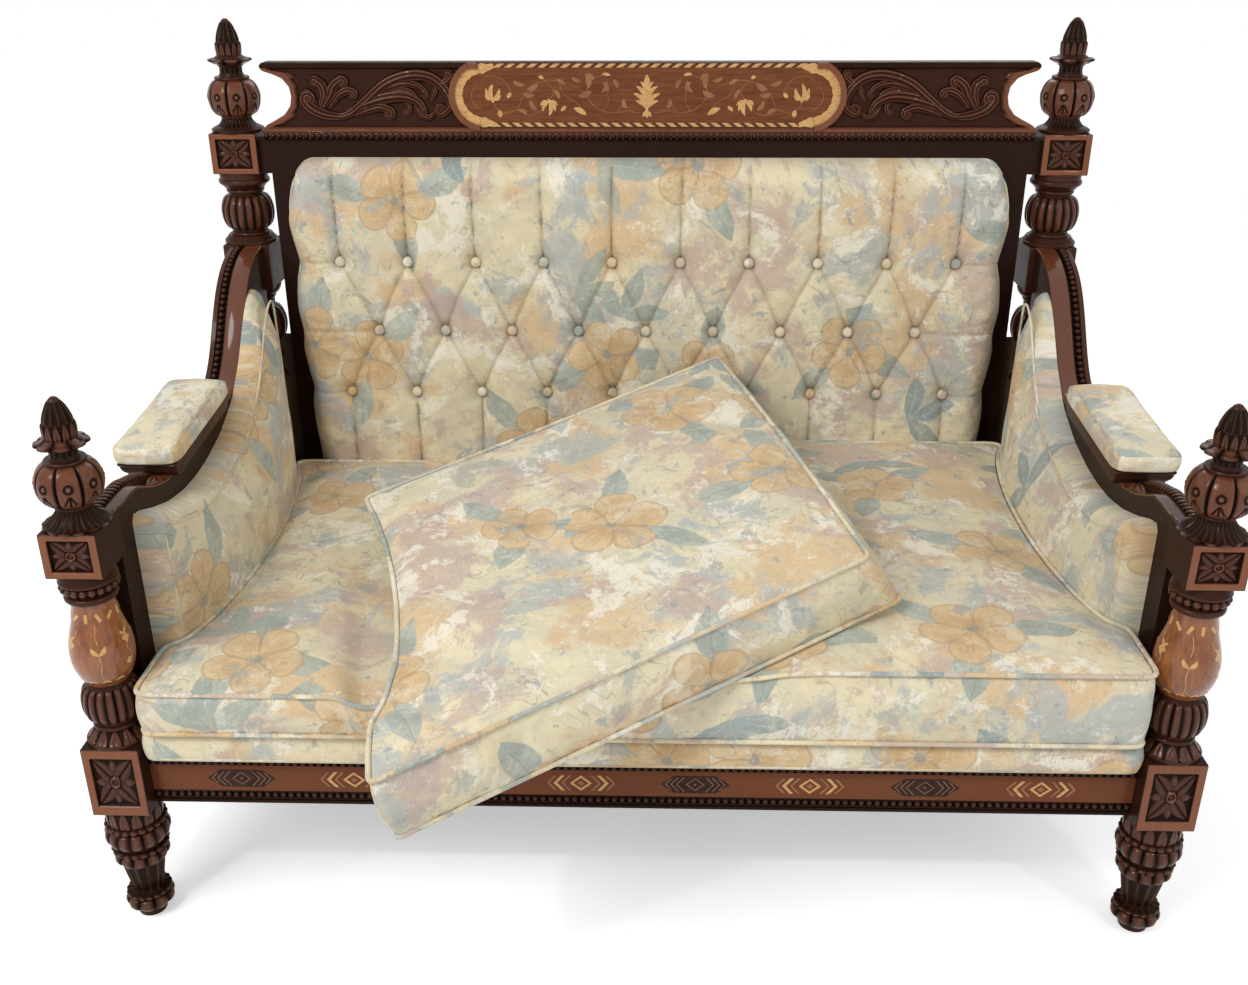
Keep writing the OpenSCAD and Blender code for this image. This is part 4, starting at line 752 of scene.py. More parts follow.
tan_veneer = veneer("tan_veneer", TAN_TONES, EVEN_GRAIN, 60.0, 3.0, Roughness=0.30, Specular_IOR_Level=0.3,
                    Coat_Weight=0.3, Coat_Roughness=0.1)
light_motifs.make("front_rail_light_slips", pale_slips, "inlay_wood", "front_rail_inlays", crease=30.0)
dark_motifs.make("front_rail_dark_slips", ebony, "dark_wood", crease=30.0)
tan_lines.make("front_rail_tan_slips", tan_veneer, "inlay_wood", crease=30.0)


# Crest. A shaped board stands on the top rail: a rubbed border round a sunk field, scrolling
# leaf carving at each side, and an inlaid panel between; a row of beads runs under it.
CREST_LOW, CREST_TOP = 984.0, 1112.0
CREST_FACE, CREST_FLOOR, CREST_REAR = 851.0, 856.2, 882.0
END_LINE = [(984, 667), (1001, 667), (1008, 661), (1016, 645), (1026, 627), (1040, 616), (1056, 612.5),
            (1072, 615), (1086, 626), (1093, 642), (1096, 653), (1099, 660), (1104, 663), (1108, 662.5),
            (1111, 659), (1112, 655)]


def eased(table, low, high, count, width):
    """A function through the pairs of a table, with a moving mean of the width over count
    places from low to high that leaves the ends alone."""
    places = np.linspace(low, high, count)
    line = np.interp(places, *np.array(table, float).T)
    inner = slice(width // 2, -(width // 2))
    line[inner] = np.convolve(line, np.ones(width) / width, mode="same")[inner]
    return lambda value: np.interp(value, places, line)


def rim_of(points):
    """The loop of points round the edge of a grid."""
    return np.concatenate([points[0, :-1], points[:-1, -1], points[-1, :0:-1], points[:0:-1, 0]])


crest_end = eased(END_LINE, CREST_LOW, CREST_TOP, 257, 7)
x_share = np.concatenate([np.linspace(-1.0, -0.88, 60), np.linspace(-0.878, 0.878, 480),
                          np.linspace(0.88, 1.0, 60)])
z_rows = np.concatenate([[984.0, 984.4, 985.2], np.linspace(986.5, 1110.0, 76), [1111.0, 1111.7, 1112.0]])
xs, zs = np.meshgrid(x_share, z_rows, indexing="xy")
end = crest_end(zs)
slope = np.gradient(crest_end(z_rows), z_rows)[:, None]
cx = xs * end
to_end = (end - np.abs(cx)) / np.sqrt(1.0 + slope ** 2)
to_field = np.minimum(np.minimum(to_end - 10.5, zs - 1005.0), 1103.0 - zs)
sink = np.clip(to_field / 1.8, 0.0, 1.0)
to_edge = np.minimum(to_end, np.minimum(zs - CREST_LOW, CREST_TOP - zs))
edge_round = 2.2 * (1.0 - np.sqrt(1.0 - (1.0 - np.clip(to_edge / 2.2, 0.0, 1.0)) ** 2))
tooling = 0.35 * np.sin(cx * 0.9 + 2.0 * np.sin(zs * 0.31)) * np.sin(zs * 0.8 + np.sin(cx * 0.23) * 2.0)
cy = CREST_FACE + (CREST_FLOOR - CREST_FACE + tooling) * sink + edge_round
lip = bump_at(to_field + 1.2, 1.0) * (zs < 1100)
shade = np.where(sink > 0.5, 0.50 + 0.16 * tooling, np.where(zs > 1102.0, 0.38, 0.93)) - 0.25 * lip
crest = Workpiece()
crest_front = np.stack([cx, cy, zs], axis=-1)
crest.grid(crest_front, np.clip(shade, 0, 1))
rim_front = rim_of(crest_front)
rim_back = rim_front * (1.0, 0.0, 1.0) + (0.0, CREST_REAR, 0.0)
crest.grid(np.stack([rim_front, rim_back]), 0.5, ring=True)
crest.fan(np.arange(crest.count - len(rim_back), crest.count), rim_back.mean(axis=0), 0.4, (0.0, 0.0), False)
crest_wood = mahogany("crest_mahogany", CARVED_TONES, grain=(3.0, 26.0, 26.0))
crest.make("crest_board", crest_wood, "dark_wood", "crest_rail", crease=32.0)

crest_beads = Workpiece()
bead_row(crest_beads, straight_row(662.0, 115, 849.8, 989.6), 5.2, (0.0, -0.6, 0.8), 8, 12)
moulded_bar(crest_beads, 667.0, [(852.0, 982.2), (848.6, 982.6), (847.6, 983.6), (848.6, 984.4),
                                 (852.0, 984.6)], 0.45)
moulded_bar(crest_beads, 667.0, [(852.0, 995.2), (850.4, 995.4), (850.0, 996.4), (850.4, 997.4),
                                 (852.0, 997.6)], 0.6)
crest_beads.make("crest_beads", carved_wood, "dark_wood", "crest_bead", crease=60.0)


def curve_length(points):
    """Distance along a line of points, from 0 at the first."""
    steps = np.linalg.norm(np.diff(points, axis=0), axis=1)
    return np.concatenate([[0.0], np.cumsum(steps)])


def points_at(places, far, line):
    """The line's points at the places, where far is the place of each of its own points."""
    return np.stack([np.interp(places, far, line[:, i]) for i in range(line.shape[1])], axis=-1)


def smooth_path(points, count):
    """A smooth line through control points, evenly spaced: cubic through each four in turn."""
    p = np.asarray(points, float)
    p = np.concatenate([2 * p[:1] - p[1:2], p, 2 * p[-1:] - p[-2:-1]])
    t = np.linspace(0.0, 1.0, 12, endpoint=False)[:, None]
    parts = [0.5 * (2 * b + (c - a) * t + (2 * a - 5 * b + 4 * c - d) * t ** 2
                    + (3 * b - a - 3 * c + d) * t ** 3)
             for a, b, c, d in zip(p[:-3], p[1:-2], p[2:-1], p[3:])]
    line = np.concatenate(parts + [p[-2:-1]])
    far = curve_length(line)
    return points_at(np.linspace(0, far[-1], count), far, line)


def scroll(line, curl):
    """A small spiral that carries on from the end of a line, and the place of its hub."""
    d = line[-1] - line[-3]
    heading = math.atan2(d[1], d[0])
    hand = math.copysign(1.0, curl)
    turns = np.linspace(0.0, 1.35 * 2 * math.pi, 26)[1:]
    radius = abs(curl) * (1.0 - 0.70 * turns / turns[-1])
    hub = line[-1] + abs(curl) * hand * np.array([-math.sin(heading), math.cos(heading)])
    around = heading - hand * math.pi / 2 + hand * turns
    return hub + np.stack([radius * np.cos(around), radius * np.sin(around)], -1), hub


def frond(work, points, start, swell, tip, height, curl):
    """A carved stem or leaf: a rounded ridge along the points, of half width start, then swell in
    the middle, then tip, with a channel cut along its back; curl ends it in a small scroll."""
    line = smooth_path(points, max(18, int(curve_length(np.asarray(points, float))[-1] / 2.0)))
    if curl:
        spiral, hub = scroll(line, curl)
        line = np.concatenate([line, spiral])
    share = curve_length(line) / curve_length(line)[-1]
    ends = np.where(share < 0.5, start, tip)
    half = ends + (swell - ends) * np.sin(share * math.pi)
    side = left_of(unit(np.gradient(line, axis=0)))
    a = np.linspace(-1.0, 1.0, 21)
    ribs = np.cos(a * 1.5 * math.pi) ** 2
    ridge = half_round(a) * (1.0 - 0.22 * (1.0 - ribs))
    rise = height * (0.55 + 0.45 * np.sin(np.clip(share * 1.3, 0, 1) * math.pi * 0.5))
    lift = (rise * (0.5 + 0.5 * half / half.max()))[:, None] * ridge
    flat = line[:, None] + side[:, None] * (half[:, None] * a)[..., None]
    top, base = in_plane(flat, CREST_FLOOR - 0.2 - lift), in_plane(flat, CREST_FLOOR + 0.6)
    # painted light on each leaf: lighter on its ribs, as rubbed ridges and as painted highlight; painted
    # shade over the side where a < -0.4 and along both edges where the leaf meets the ground
    relief = (0.22 + 0.62 * ribs) * (1.0 - 0.25 * (a < -0.4)) - 0.25 * bump_at(np.abs(a) - 1.0, 0.18)
    work.grid(top, np.clip(relief, 0, 1))
    work.grid(base[:, ::20], 0.1, flip=True)
    for end in (0, -1):
        work.grid(np.stack([top[:, end], base[:, end]], axis=1), 0.1, flip=end == 0)
        work.grid(np.stack([top[end], base[end]]), 0.1, flip=end == -1)
    if curl:
        bead_row(work, [np.array([hub[0], CREST_FLOOR - height * 0.62, hub[1]])], abs(curl) * 0.40, rows=7,
                 around=12)


carving = Workpiece()
for points, start, swell, tip, height, curl in (
        ([(-556, 1031), (-540, 1023), (-515, 1026), (-482, 1050), (-450, 1075), (-418, 1088), (-388, 1091),
          (-362, 1083), (-343, 1062), (-339, 1041), (-350, 1029)], 4.5, 6.2, 4.0, 6.2, -7.5),
        ([(-530, 1022), (-556, 1026), (-577, 1036), (-588, 1048)], 5.5, 6.5, 4.5, 6.4, -7.0),
        ([(-566, 1034), (-556, 1055), (-556, 1072), (-566, 1083)], 3.0, 5.6, 3.2, 5.4, 5.0),
        ([(-562, 1034), (-546, 1056), (-538, 1072), (-525, 1083)], 3.0, 5.8, 3.2, 5.6, -5.0),
        ([(-570, 1036), (-576, 1052), (-583, 1062)], 2.4, 4.4, 2.0, 4.6, 3.6),
        ([(-548, 1036), (-532, 1056), (-517, 1065), (-505, 1064)], 2.6, 4.8, 2.8, 4.8, -4.4),
        ([(-520, 1028), (-486, 1043), (-452, 1053), (-418, 1056), (-394, 1047), (-384, 1034)],
         3.4, 6.6, 2.4, 5.8, -4.0),
        ([(-506, 1024), (-482, 1033), (-460, 1038), (-443, 1033)], 3.0, 5.0, 3.0, 5.0, -6.0),
        ([(-474, 1052), (-444, 1070), (-414, 1078), (-390, 1072), (-378, 1060)], 2.6, 4.6, 2.0, 5.0, -3.4),
        ([(-452, 1056), (-426, 1066), (-406, 1062), (-396, 1052)], 2.2, 4.2, 1.8, 4.4, -3.0),
        ([(-420, 1050), (-410, 1040), (-413, 1029)], 2.2, 3.6, 1.6, 4.0, -2.6),
        ([(-400, 1043), (-390, 1026), (-376, 1021), (-366, 1029)], 2.2, 4.2, 2.0, 4.4, 0.0),
        ([(-392, 1090), (-366, 1080), (-348, 1078), (-336, 1086)], 3.0, 4.6, 3.2, 5.4, 6.0),
        ([(-360, 1078), (-366, 1060), (-374, 1046)], 1.8, 3.6, 1.4, 4.0, 0.0)):
    frond(carving, points, start * 1.25, swell * 1.75, tip * 1.3, height * 1.5, curl)
CARVING_TONES = [(0.0, (0.006, 0.003, 0.0022)), (0.35, (0.028, 0.010, 0.006)), (0.65, (0.085, 0.027, 0.0125)),
                 (1.0, (0.175, 0.058, 0.025))]
crest_carving = mahogany("carving_mahogany", CARVING_TONES, grain=(12.0, 12.0, 12.0), roughness=0.30)
carving.mirrored().make_pair("crest_scroll_{}", crest_carving, "dark_wood", "crest_carving_{}", crease=60.0,
                             weld=1e-6)

# The inlaid panel: an orange-brown ground with rounded ends, edged above and below with twisted
# stringing and at the ends with scalloped light bands inside a raised red ring.
PANEL_Z, PANEL_R = 1058.0, 52.6
PANEL_END = 279.4       # from the middle to the centre of each rounded end
QUARTER = math.pi / 2
end_turn = np.linspace(-QUARTER, QUARTER, 33)
panel_end = np.stack([PANEL_END + PANEL_R * np.cos(end_turn), PANEL_R * np.sin(end_turn)], -1)
panel = Workpiece()
flat_slip(panel, np.concatenate([panel_end, -panel_end]) + (0.0, PANEL_Z), 856.4, 850.6, 0.5)
GROUND_TONES = [(0.25, (0.092, 0.026, 0.0080)), (0.5, (0.148, 0.046, 0.0138)), (0.8, (0.205, 0.070, 0.022))]
panel_ground = veneer("panel_ground", GROUND_TONES, (3.0, 20.0, 34.0), 8.0, 5.0, 0.8, Roughness=0.30,
                      Specular_IOR_Level=0.12, Coat_Weight=0.14, Coat_Roughness=0.1)
panel.make("crest_inlay_ground", panel_ground, "inlay_wood", "crest_panel", crease=30.0)

FACE_Y, SLIP_Y = 850.9, 850.15
light_slips, tan_slips, red_slips = Workpiece(), Workpiece(), Workpiece()


def band_slip(work, line, half, y_front=SLIP_Y, y_back=FACE_Y, relief=0.8):
    """A flat band of veneer along a line, its half width given at each point."""
    line = np.asarray(line, float)
    side = left_of(unit(np.gradient(line, axis=0))) * np.broadcast_to(half, len(line))[:, None]
    left, right = line + side, line - side
    corners = ((left, y_back), (left, y_front), (right, y_front), (right, y_back))
    section = [in_plane(edge, y) for edge, y in corners]
    work.grid(np.stack(section, axis=1), relief, ring=True, caps=True, flip=True)


past_half = 0.38        # how far past a half turn the bands run on
a = np.linspace(-QUARTER - past_half, QUARTER + past_half, 241)
bent = np.clip(a, -QUARTER, QUARTER)
drawn_out = np.clip((np.abs(a) - QUARTER) / past_half, 0.0, 1.0)
scallop = np.abs(np.sin(a * 9.0))
band_half = (6.4 + 2.2 * scallop ** 0.6 * (1.0 - drawn_out)) * (1.0 - 0.42 * drawn_out)
reach = 43.6 + 0.9 * scallop + 4.2 * drawn_out
ring_z = np.clip(PANEL_Z + 55.0 * np.sin(a * 0.93), 1004.0, 1106.8)
for way in (-1.0, 1.0):
    band_x = way * (PANEL_END + reach * (np.cos(bent) - np.abs(a - bent)))
    band_slip(light_slips, np.stack([band_x, PANEL_Z + reach * np.sin(bent)], -1), band_half)
    ring_line = np.stack([way * (PANEL_END + 55.0 * np.cos(a * 0.93)), ring_z], -1)
    band_slip(red_slips, ring_line[26:-26], 4.8, 846.8, 857.0, 0.95)
for z, lean in ((PANEL_Z + 49.0, 9.0), (PANEL_Z - 48.4, -9.0)):
    for i in range(55):
        x = -256.5 + i * 9.5
        work, w, front = (red_slips, 4.1, 850.3) if i % 2 else (light_slips, 5.2, 850.22)
        slip = [(x - w, z - 3.2), (x + w, z - 3.2), (x + w + lean, z + 3.2), (x - w + lean, z + 3.2)]
        flat_slip(work, slip, FACE_Y, front)


def leaf_slip(work, x, z, length, width, angle, bend=0.0, y_front=SLIP_Y, point=0.75):
    """A leaf of veneer from x, z along the angle, in degrees, bowed by bend. Each lies a hair
    over the last."""
    y_front -= 0.004 * (work.count // 54 % 40)
    t = np.linspace(0.0, 1.0, 13)
    across = bend * length * np.sin(np.pi * t)
    c, s = math.cos(math.radians(angle)), math.sin(math.radians(angle))
    line = np.stack([x + t * length * c - across * s, z + t * length * s + across * c], -1)
    band_slip(work, line, width * 0.5 * np.sin(np.pi * np.clip(t, 0.02, 0.98)) ** point + 0.15, y_front)


def leaf_to_side(way, work, x, z, length, width, angle, bend=0.0, y_front=SLIP_Y):
    """A leaf on the panel's right half where way is 1, and its mirror image where it is -1."""
    leaf_slip(work, way * x, z, length, width, angle if way > 0 else 180.0 - angle, bend * way, y_front)


def stem_slip(work, points):
    """A thin stem of veneer through control points."""
    half = 0.55 * np.linspace(1.0, 0.6, 40)
    band_slip(work, smooth_path(points, 40), half, 850.62 - 0.006 * (work.count // 162 % 20))


# The middle palmette: pairs of leaves up a stem, a bud on top and a small foot.
leaf_slip(light_slips, 0.0, 1066.0, 26.0, 10.0, 90.0, point=0.6)
band_slip(light_slips, [(0.0, 1030.0), (0.0, 1070.0)], [2.2, 2.6])
for up, length, width, angle in ((1037, 22, 6.4, 34), (1042, 29, 7.4, 42), (1050, 29, 7.4, 54),
                                 (1059, 24, 6.8, 66)):
    for way in (-1.0, 1.0):
        leaf_to_side(way, light_slips, 1.0, up, length, width, angle, 0.14)
for angle in (-90, -52, -128):
    leaf_slip(light_slips, 0.0, 1033.0, 12.0, 5.5, angle)

# The scrolls at each side: an upright flower near the end and a hanging one towards the middle,
# each five leaves with their angle, length, width and bend, and a short one for its foot; then
# seeds, leaves with their place, length, width and angle, and stems.
UPRIGHT_FLOWER = ((92, 25, 6.8, -0.16), (58, 21, 6.4, -0.16), (124, 21, 6.4, 0.16), (26, 15, 5.4, -0.16),
                  (156, 15, 5.4, 0.16))
HANGING_FLOWER = ((-90, 23, 6.8, -0.16), (-56, 19, 6.4, 0.16), (-124, 19, 6.4, -0.16), (-22, 16, 5.4, 0.16),
                  (-158, 16, 5.4, -0.16))
SEEDS = ((232, 1062, 11, 6.5, -50), (252, 1022, 12, 8.0, 80), (176, 1086, 9, 5.5, 20),
         (104, 1026, 24, 9.0, 28), (62, 1091, 15, 5.0, 8), (138, 1040, 12, 6.0, -40))
LEAVES = ((205, 1068, 22, 8.5, 150), (212, 1062, 20, 8.0, 190), (200, 1050, 20, 8.0, 235),
          (116, 1058, 22, 9.0, 160), (100, 1070, 24, 9.5, 80), (228, 1082, 20, 7.5, 200),
          (186, 1074, 18, 7.0, 320), (150, 1052, 18, 7.0, 60), (128, 1088, 18, 6.5, 200),
          (90, 1084, 17, 7.0, 30), (50, 1070, 16, 7.0, 60), (206, 1028, 16, 6.5, 20),
          (72, 1066, 16, 6.5, 100), (66, 1064, 18, 6.5, 62), (78, 1064, 15, 6.0, 135),
          (40, 1052, 16, 8.0, 250), (140, 1075, 18, 6.0, 30))
STEMS = ([(264, 1050), (258, 1036), (240, 1030), (222, 1036), (214, 1052), (204, 1066)],
         [(204, 1066), (180, 1080), (150, 1082), (122, 1072), (104, 1060)],
         [(222, 1036), (206, 1026), (186, 1030), (168, 1048)], [(168, 1048), (160, 1066), (176, 1086)],
         [(104, 1060), (92, 1042), (74, 1032), (52, 1030), (30, 1034)], [(74, 1032), (66, 1048), (68, 1064)],
         [(52, 1030), (44, 1040), (38, 1054)], [(104, 1060), (98, 1080), (80, 1090), (62, 1092)],
         [(232, 1064), (246, 1084), (270, 1090), (284, 1080)],
         [(150, 1082), (142, 1060), (120, 1046), (104, 1028)], [(240, 1030), (250, 1024), (252, 1022)],
         [(30, 1034), (20, 1030), (12, 1030)], [(284, 1034), (298, 1046), (300, 1062), (290, 1074)])
for way in (-1.0, 1.0):
    for x, z, petals, foot_z, foot_length, foot_angle in (
            (264.0, 1052.0, UPRIGHT_FLOWER, 1055.0, 9.0, -90),
            (168.0, 1048.0, HANGING_FLOWER, 1045.0, 8.0, 90)):
        for angle, length, width, bend in petals:
            leaf_to_side(way, light_slips, x, z, length, width, angle, bend)
        leaf_to_side(way, light_slips, x, foot_z, foot_length, 5.0, foot_angle)
    for leaf in SEEDS:
        leaf_to_side(way, light_slips, *leaf, bend=0.06)
    for leaf in LEAVES:
        leaf_to_side(way, tan_slips, *leaf, bend=0.12, y_front=850.3)
    for points in STEMS:
        stem_slip(tan_slips, [(way * x, z) for x, z in points])
for work, name, finish, slot in ((light_slips, "light", pale_slips, "inlay_wood"),
                                 (tan_slips, "tan", tan_veneer, "inlay_wood"),
                                 (red_slips, "red", carved_wood, "red_wood")):
    work.make("crest_" + name + "_slips", finish, slot, crease=30.0, weld=1e-6)


# Arms. Each is one shaped length of mahogany tenoned into the posts: a hump edged with a carved
# rope and a small shell, a flat for the pad, then an S up to the back post with a sunk row of
# beads beside a broad rubbed flat. The pad's base is a moulded board pinned on the flat.
ARM_IN, ARM_OUT = 690.0, 731.0
BEAD_U = 38.5           # from the arm's inner side to the middle of the bead row
PAD_FRONT, PAD_REAR = 272.0, 525.0


def cubic(a, b, c, d, count):
    """Cubic curve from a to d that leaves towards b and arrives from c."""
    t = np.linspace(0.0, 1.0, count)[:, None]
    a, b, c, d = (np.asarray(p, float) for p in (a, b, c, d))
    return a * (1 - t) ** 3 + 3 * b * t * (1 - t) ** 2 + 3 * c * t * t * (1 - t) + d * t ** 3


def relaxed(points, times, ring=False):
    """Each point moves to the mean of itself and its two neighbours, a number of times."""
    points = np.asarray(points, float).copy()
    for _ in range(times):
        if ring:
            points = (np.roll(points, 1, axis=0) + points * 2.0 + np.roll(points, -1, axis=0)) / 4.0
        else:
            points[1:-1] = (points[:-2] + points[1:-1] * 2.0 + points[2:]) / 4.0
    return points


hump_line = smooth_path([(74.0, 627.0), (108.0, 628.3), (142.0, 629.2), (166.0, 627.6), (188.0, 619.0),
                         (213.0, 608.6), (240.0, 600.2), (272.0, 593.0)], 60)
s_rise_line = cubic((525.0, 612.0), (688.3, 589.4), (660.0, 790.6), (842.0, 800.0), 90)
arm_line = np.concatenate([hump_line, np.linspace((274.0, 593.2), (523.0, 611.8), 20), s_rise_line])
arm_far = curve_length(arm_line)
arm_steps = np.linspace(0.0, arm_far[-1], 440)
arm_top = relaxed(points_at(arm_steps, arm_far, arm_line), 3)
under_line = np.concatenate([[(60.0, 570.0), (128.0, 570.0)],
                             cubic((129.0, 570.0), (139.0, 570.0), (189.0, 535.0), (272.0, 535.0), 20),
                             [(273.0, 535.0)],
                             cubic((525.0, 535.0), (759.9, 535.0), (728.6, 718.3), (786.0, 724.0), 40),
                             [(850.0, 724.0)]])
arm_under = np.interp(arm_top[:, 0], *under_line.T)
arm_up = left_of(unit(np.gradient(arm_top, axis=0)))
in_s = np.clip((arm_top[:, 0] - 440.0) / 60.0, 0.0, 1.0)[:, None]

s = arm_steps[:, None]
width = ARM_OUT - ARM_IN + 13.0 * in_s
across = np.concatenate([[0.0, 0.25, 0.9, 1.8], np.linspace(3.0, 52.0, 66), [52.9, 53.6, 53.9, 54.0]])
u = across / 54.0 * width
to_side = np.clip(np.minimum(u, width - u) / 1.8, 0.0, 1.0)
round_over = 1.6 * (1.0 - np.sqrt(1.0 - (1.0 - to_side) ** 2))
# the S: a slightly crowned flat, a sunk groove for the beads, a narrow outer strip
crowned = 1.4 * (1.0 - ((u - 15.0) / 15.5) ** 2).clip(0.0)
groove = np.clip(1.0 - ((u - BEAD_U) / 7.0) ** 8, 0.0, 1.0)
s_height = crowned - 3.2 * groove - bump_at(u - 31.0, 0.9)
s_relief = np.where(groove > 0.3, 0.10, np.where(u < 31.0, 0.93, 0.62)) - 0.4 * bump_at(u - 31.0, 1.2)
# the hump: a flat strip, a raised seat for the rope, a small shell where it drops to the
# pad's base, and a leaf at the block
shell_u, shell_s = (u - 14.0) / 12.0, (192.0 - s) / 34.0
far, spoke = np.hypot(shell_u, shell_s), np.arctan2(shell_u, shell_s)
rib = np.abs(np.cos(spoke * 4.5))
shell = np.sqrt(np.clip(1.0 - (far / (0.9 + 0.1 * rib)) ** 2, 0.0, 1.0)) * (s < 192.0)
shell_h = shell * (6.5 + 2.5 * rib * np.clip(far * 2.0, 0.0, 1.0))
leaf_half = 9.0 * np.clip(1.0 - (s - 6.0) / 24.0, 0.02, 1.0)
block_leaf = np.clip(1.0 - np.abs(u - 8.0 + 0.3 * s) / leaf_half, 0.0, 1.0) * (s < 30.0)
rope_seat = np.clip((u - 19.5) / 2.5, 0.0, 1.0)


def hump_rise(s):
    """How far the hump's outer strip rises over its flat one at the distance s."""
    return 9.5 * np.exp(-((s - 150.0) / 42.0) ** 2)


outer_strip = (hump_rise(s) - 1.6) * rope_seat
hump_height = outer_strip - 1.1 * bump_at(u - 19.0, 0.9) + shell_h + 2.8 * block_leaf ** 0.6
# painted reflection: the flat strip is darker before 92 mm along the arm and lighter, redder after it,
# standing for how much sky its polish reflects as it bends over the hump
bend = np.clip((s - 92.0) / 14.0, 0.0, 1.0) * (u < 19.0)
hump_relief = 0.68 + 0.26 * bend - 0.5 * bump_at(u - 19.2, 1.4) - 0.35 * rope_seat
hump_relief = hump_relief - (shell > 0.02) * (0.42 - 0.34 * rib)
top_height = hump_height * (1.0 - in_s) + s_height * in_s - round_over
top_relief = hump_relief * (1.0 - in_s) + s_relief * in_s
crown_points = np.concatenate([ARM_IN + u[..., None],
                               arm_top[:, None] + arm_up[:, None] * top_height[..., None]], axis=-1)


def side_face(edge, x):
    """Straight lines from the arm's top edge down to its underside at x."""
    start = np.column_stack([x, edge[:, 1:]])
    foot = np.column_stack([x, arm_top[:, 0], arm_under])
    return start[:, None] + (foot - start)[:, None] * np.linspace(0.04, 1.0, 12)[:, None]


outer_face = side_face(crown_points[:, -1], ARM_IN + width)
inner_face = side_face(crown_points[:, 0], np.full_like(width, ARM_IN))[:, ::-1]
side_relief = np.broadcast_to(np.repeat([0.42, 0.26], 12), (len(u), 24))
arm = Workpiece()
arm.grid(np.concatenate([crown_points, outer_face, inner_face], axis=1),
         np.clip(np.concatenate([top_relief, side_relief], axis=1), 0.0, 1.0), ring=True, caps=True)

# the rope: three strands in the round, carved along the hump's outer edge
fine_s = np.arange(4.0, 207.0, 0.9)
rope_up = points_at(fine_s, arm_steps, arm_up)
rope_mid = points_at(fine_s, arm_steps, arm_top) + (0.6 + hump_rise(fine_s))[:, None] * rope_up
spin = spokes(28)
strand = np.abs(np.cos(1.5 * (spin - fine_s[:, None] * 0.215)))
taper = np.clip(np.minimum(fine_s - 3.5, 207.5 - fine_s) / 14.0, 0.0, 1.0)[:, None] ** 0.5
rope_r = taper * (0.60 + 0.40 * strand ** 0.6)
rope_x, rope_lift = 719.8 + 8.8 * rope_r * np.cos(spin), 6.2 * rope_r * np.sin(spin)
rope = rope_mid[:, None] + rope_up[:, None] * rope_lift[..., None]
arm.grid(np.concatenate([rope_x[..., None], rope], axis=-1),
         np.clip(0.02 + 0.80 * strand ** 1.2, 0.0, 1.0), ring=True, caps=True)

s_start = float(np.interp(540.0, arm_top[:, 0], arm_steps))
bead_at = points_at(np.arange(s_start, arm_steps[-1] - 12.0, 11.4), arm_steps, arm_top)
arm_beads = Workpiece()
bead_row(arm_beads, np.insert(bead_at, 0, ARM_IN + BEAD_U, axis=1), 4.9, (0.0, -0.6, 0.8), 8, 12)

# the pad's base: its moulded edge is a run of depths below the top, each cut back by so much
pad_base = Workpiece()
quarter = np.linspace(0.0, QUARTER, 6)
base_rings, base_tones = [], []
for below, inward in ((0.0, 0.9), (1.0, 0.0), (2.6, 0.0), (3.6, 0.9), (4.4, 1.8), (6.5, 2.2), (10.0, 3.0),
                      (13.5, 4.6), (16.5, 7.0), (19.0, 9.4), (21.5, 10.0)):
    x0, x1, y0, y1 = 677.0, 765.0 - inward, PAD_FRONT + inward, PAD_REAR - inward * 0.6
    corners = ((x1 - 6.0, y0 + 6.0, 6.0), (x1 - 6.0, y1 - 6.0, 6.0),
               (x0 + 2.0, y1 - 2.0, 2.0), (x0 + 2.0, y0 + 2.0, 2.0))
    plan = np.concatenate([np.stack([x + r * np.cos(quarter + (i - 1) * QUARTER),
                                     y + r * np.sin(quarter + (i - 1) * QUARTER)], -1)
                           for i, (x, y, r) in enumerate(corners)])
    level = 614.0 + (plan[:, 1] - PAD_FRONT) * 19.0 / (PAD_REAR - PAD_FRONT) - below
    base_rings.append(np.column_stack([plan, level]))
    base_tones.append(np.where(plan[:, 0] < 682.0, 0.52, 0.50 if below < 4.0 else 0.36))
pad_base.grid(np.stack(base_rings), np.stack(base_tones), ring=True, caps=True)
ARM_TONES = [(0.0, (0.004, 0.002, 0.0014)), (0.25, (0.0265, 0.0125, 0.0068)), (0.45, (0.036, 0.0145, 0.0082)),
             (0.70, (0.072, 0.0225, 0.0110)), (1.0, (0.135, 0.040, 0.0165))]
arm_wood = mahogany("arm_mahogany", ARM_TONES, grain=(26.0, 4.0, 26.0), roughness=0.27, coat=0.75)
arm.make_pair("arm_{}_shaped", arm_wood, "dark_wood", "arm_{}", crease=38.0, weld=1e-6)
arm_beads.make_pair("arm_{}_bead_row", carved_wood, "dark_wood", "arm_beads_{}", crease=70.0)
pad_base.make_pair("arm_pad_{}_board", arm_wood, "dark_wood", "arm_pad_base_{}")


# Frame. Rails, stiles and boards of the same mahogany, stained dark, mortised and pegged; they
# keep the CAD's shapes. The grain runs along each length.
DARK_TONES = [(0.0, (0.0065, 0.0028, 0.0020)), (0.45, (0.019, 0.0075, 0.0052)),
              (0.75, (0.034, 0.0125, 0.0080)), (1.0, (0.058, 0.020, 0.0115))]


def finish_nodes(finish, *nodes):
    """Gives CAD nodes, whose shapes stay, their finish."""
    for name in nodes:
        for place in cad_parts[name].material_slots:
            place.link = "OBJECT"
            place.material = finish.material


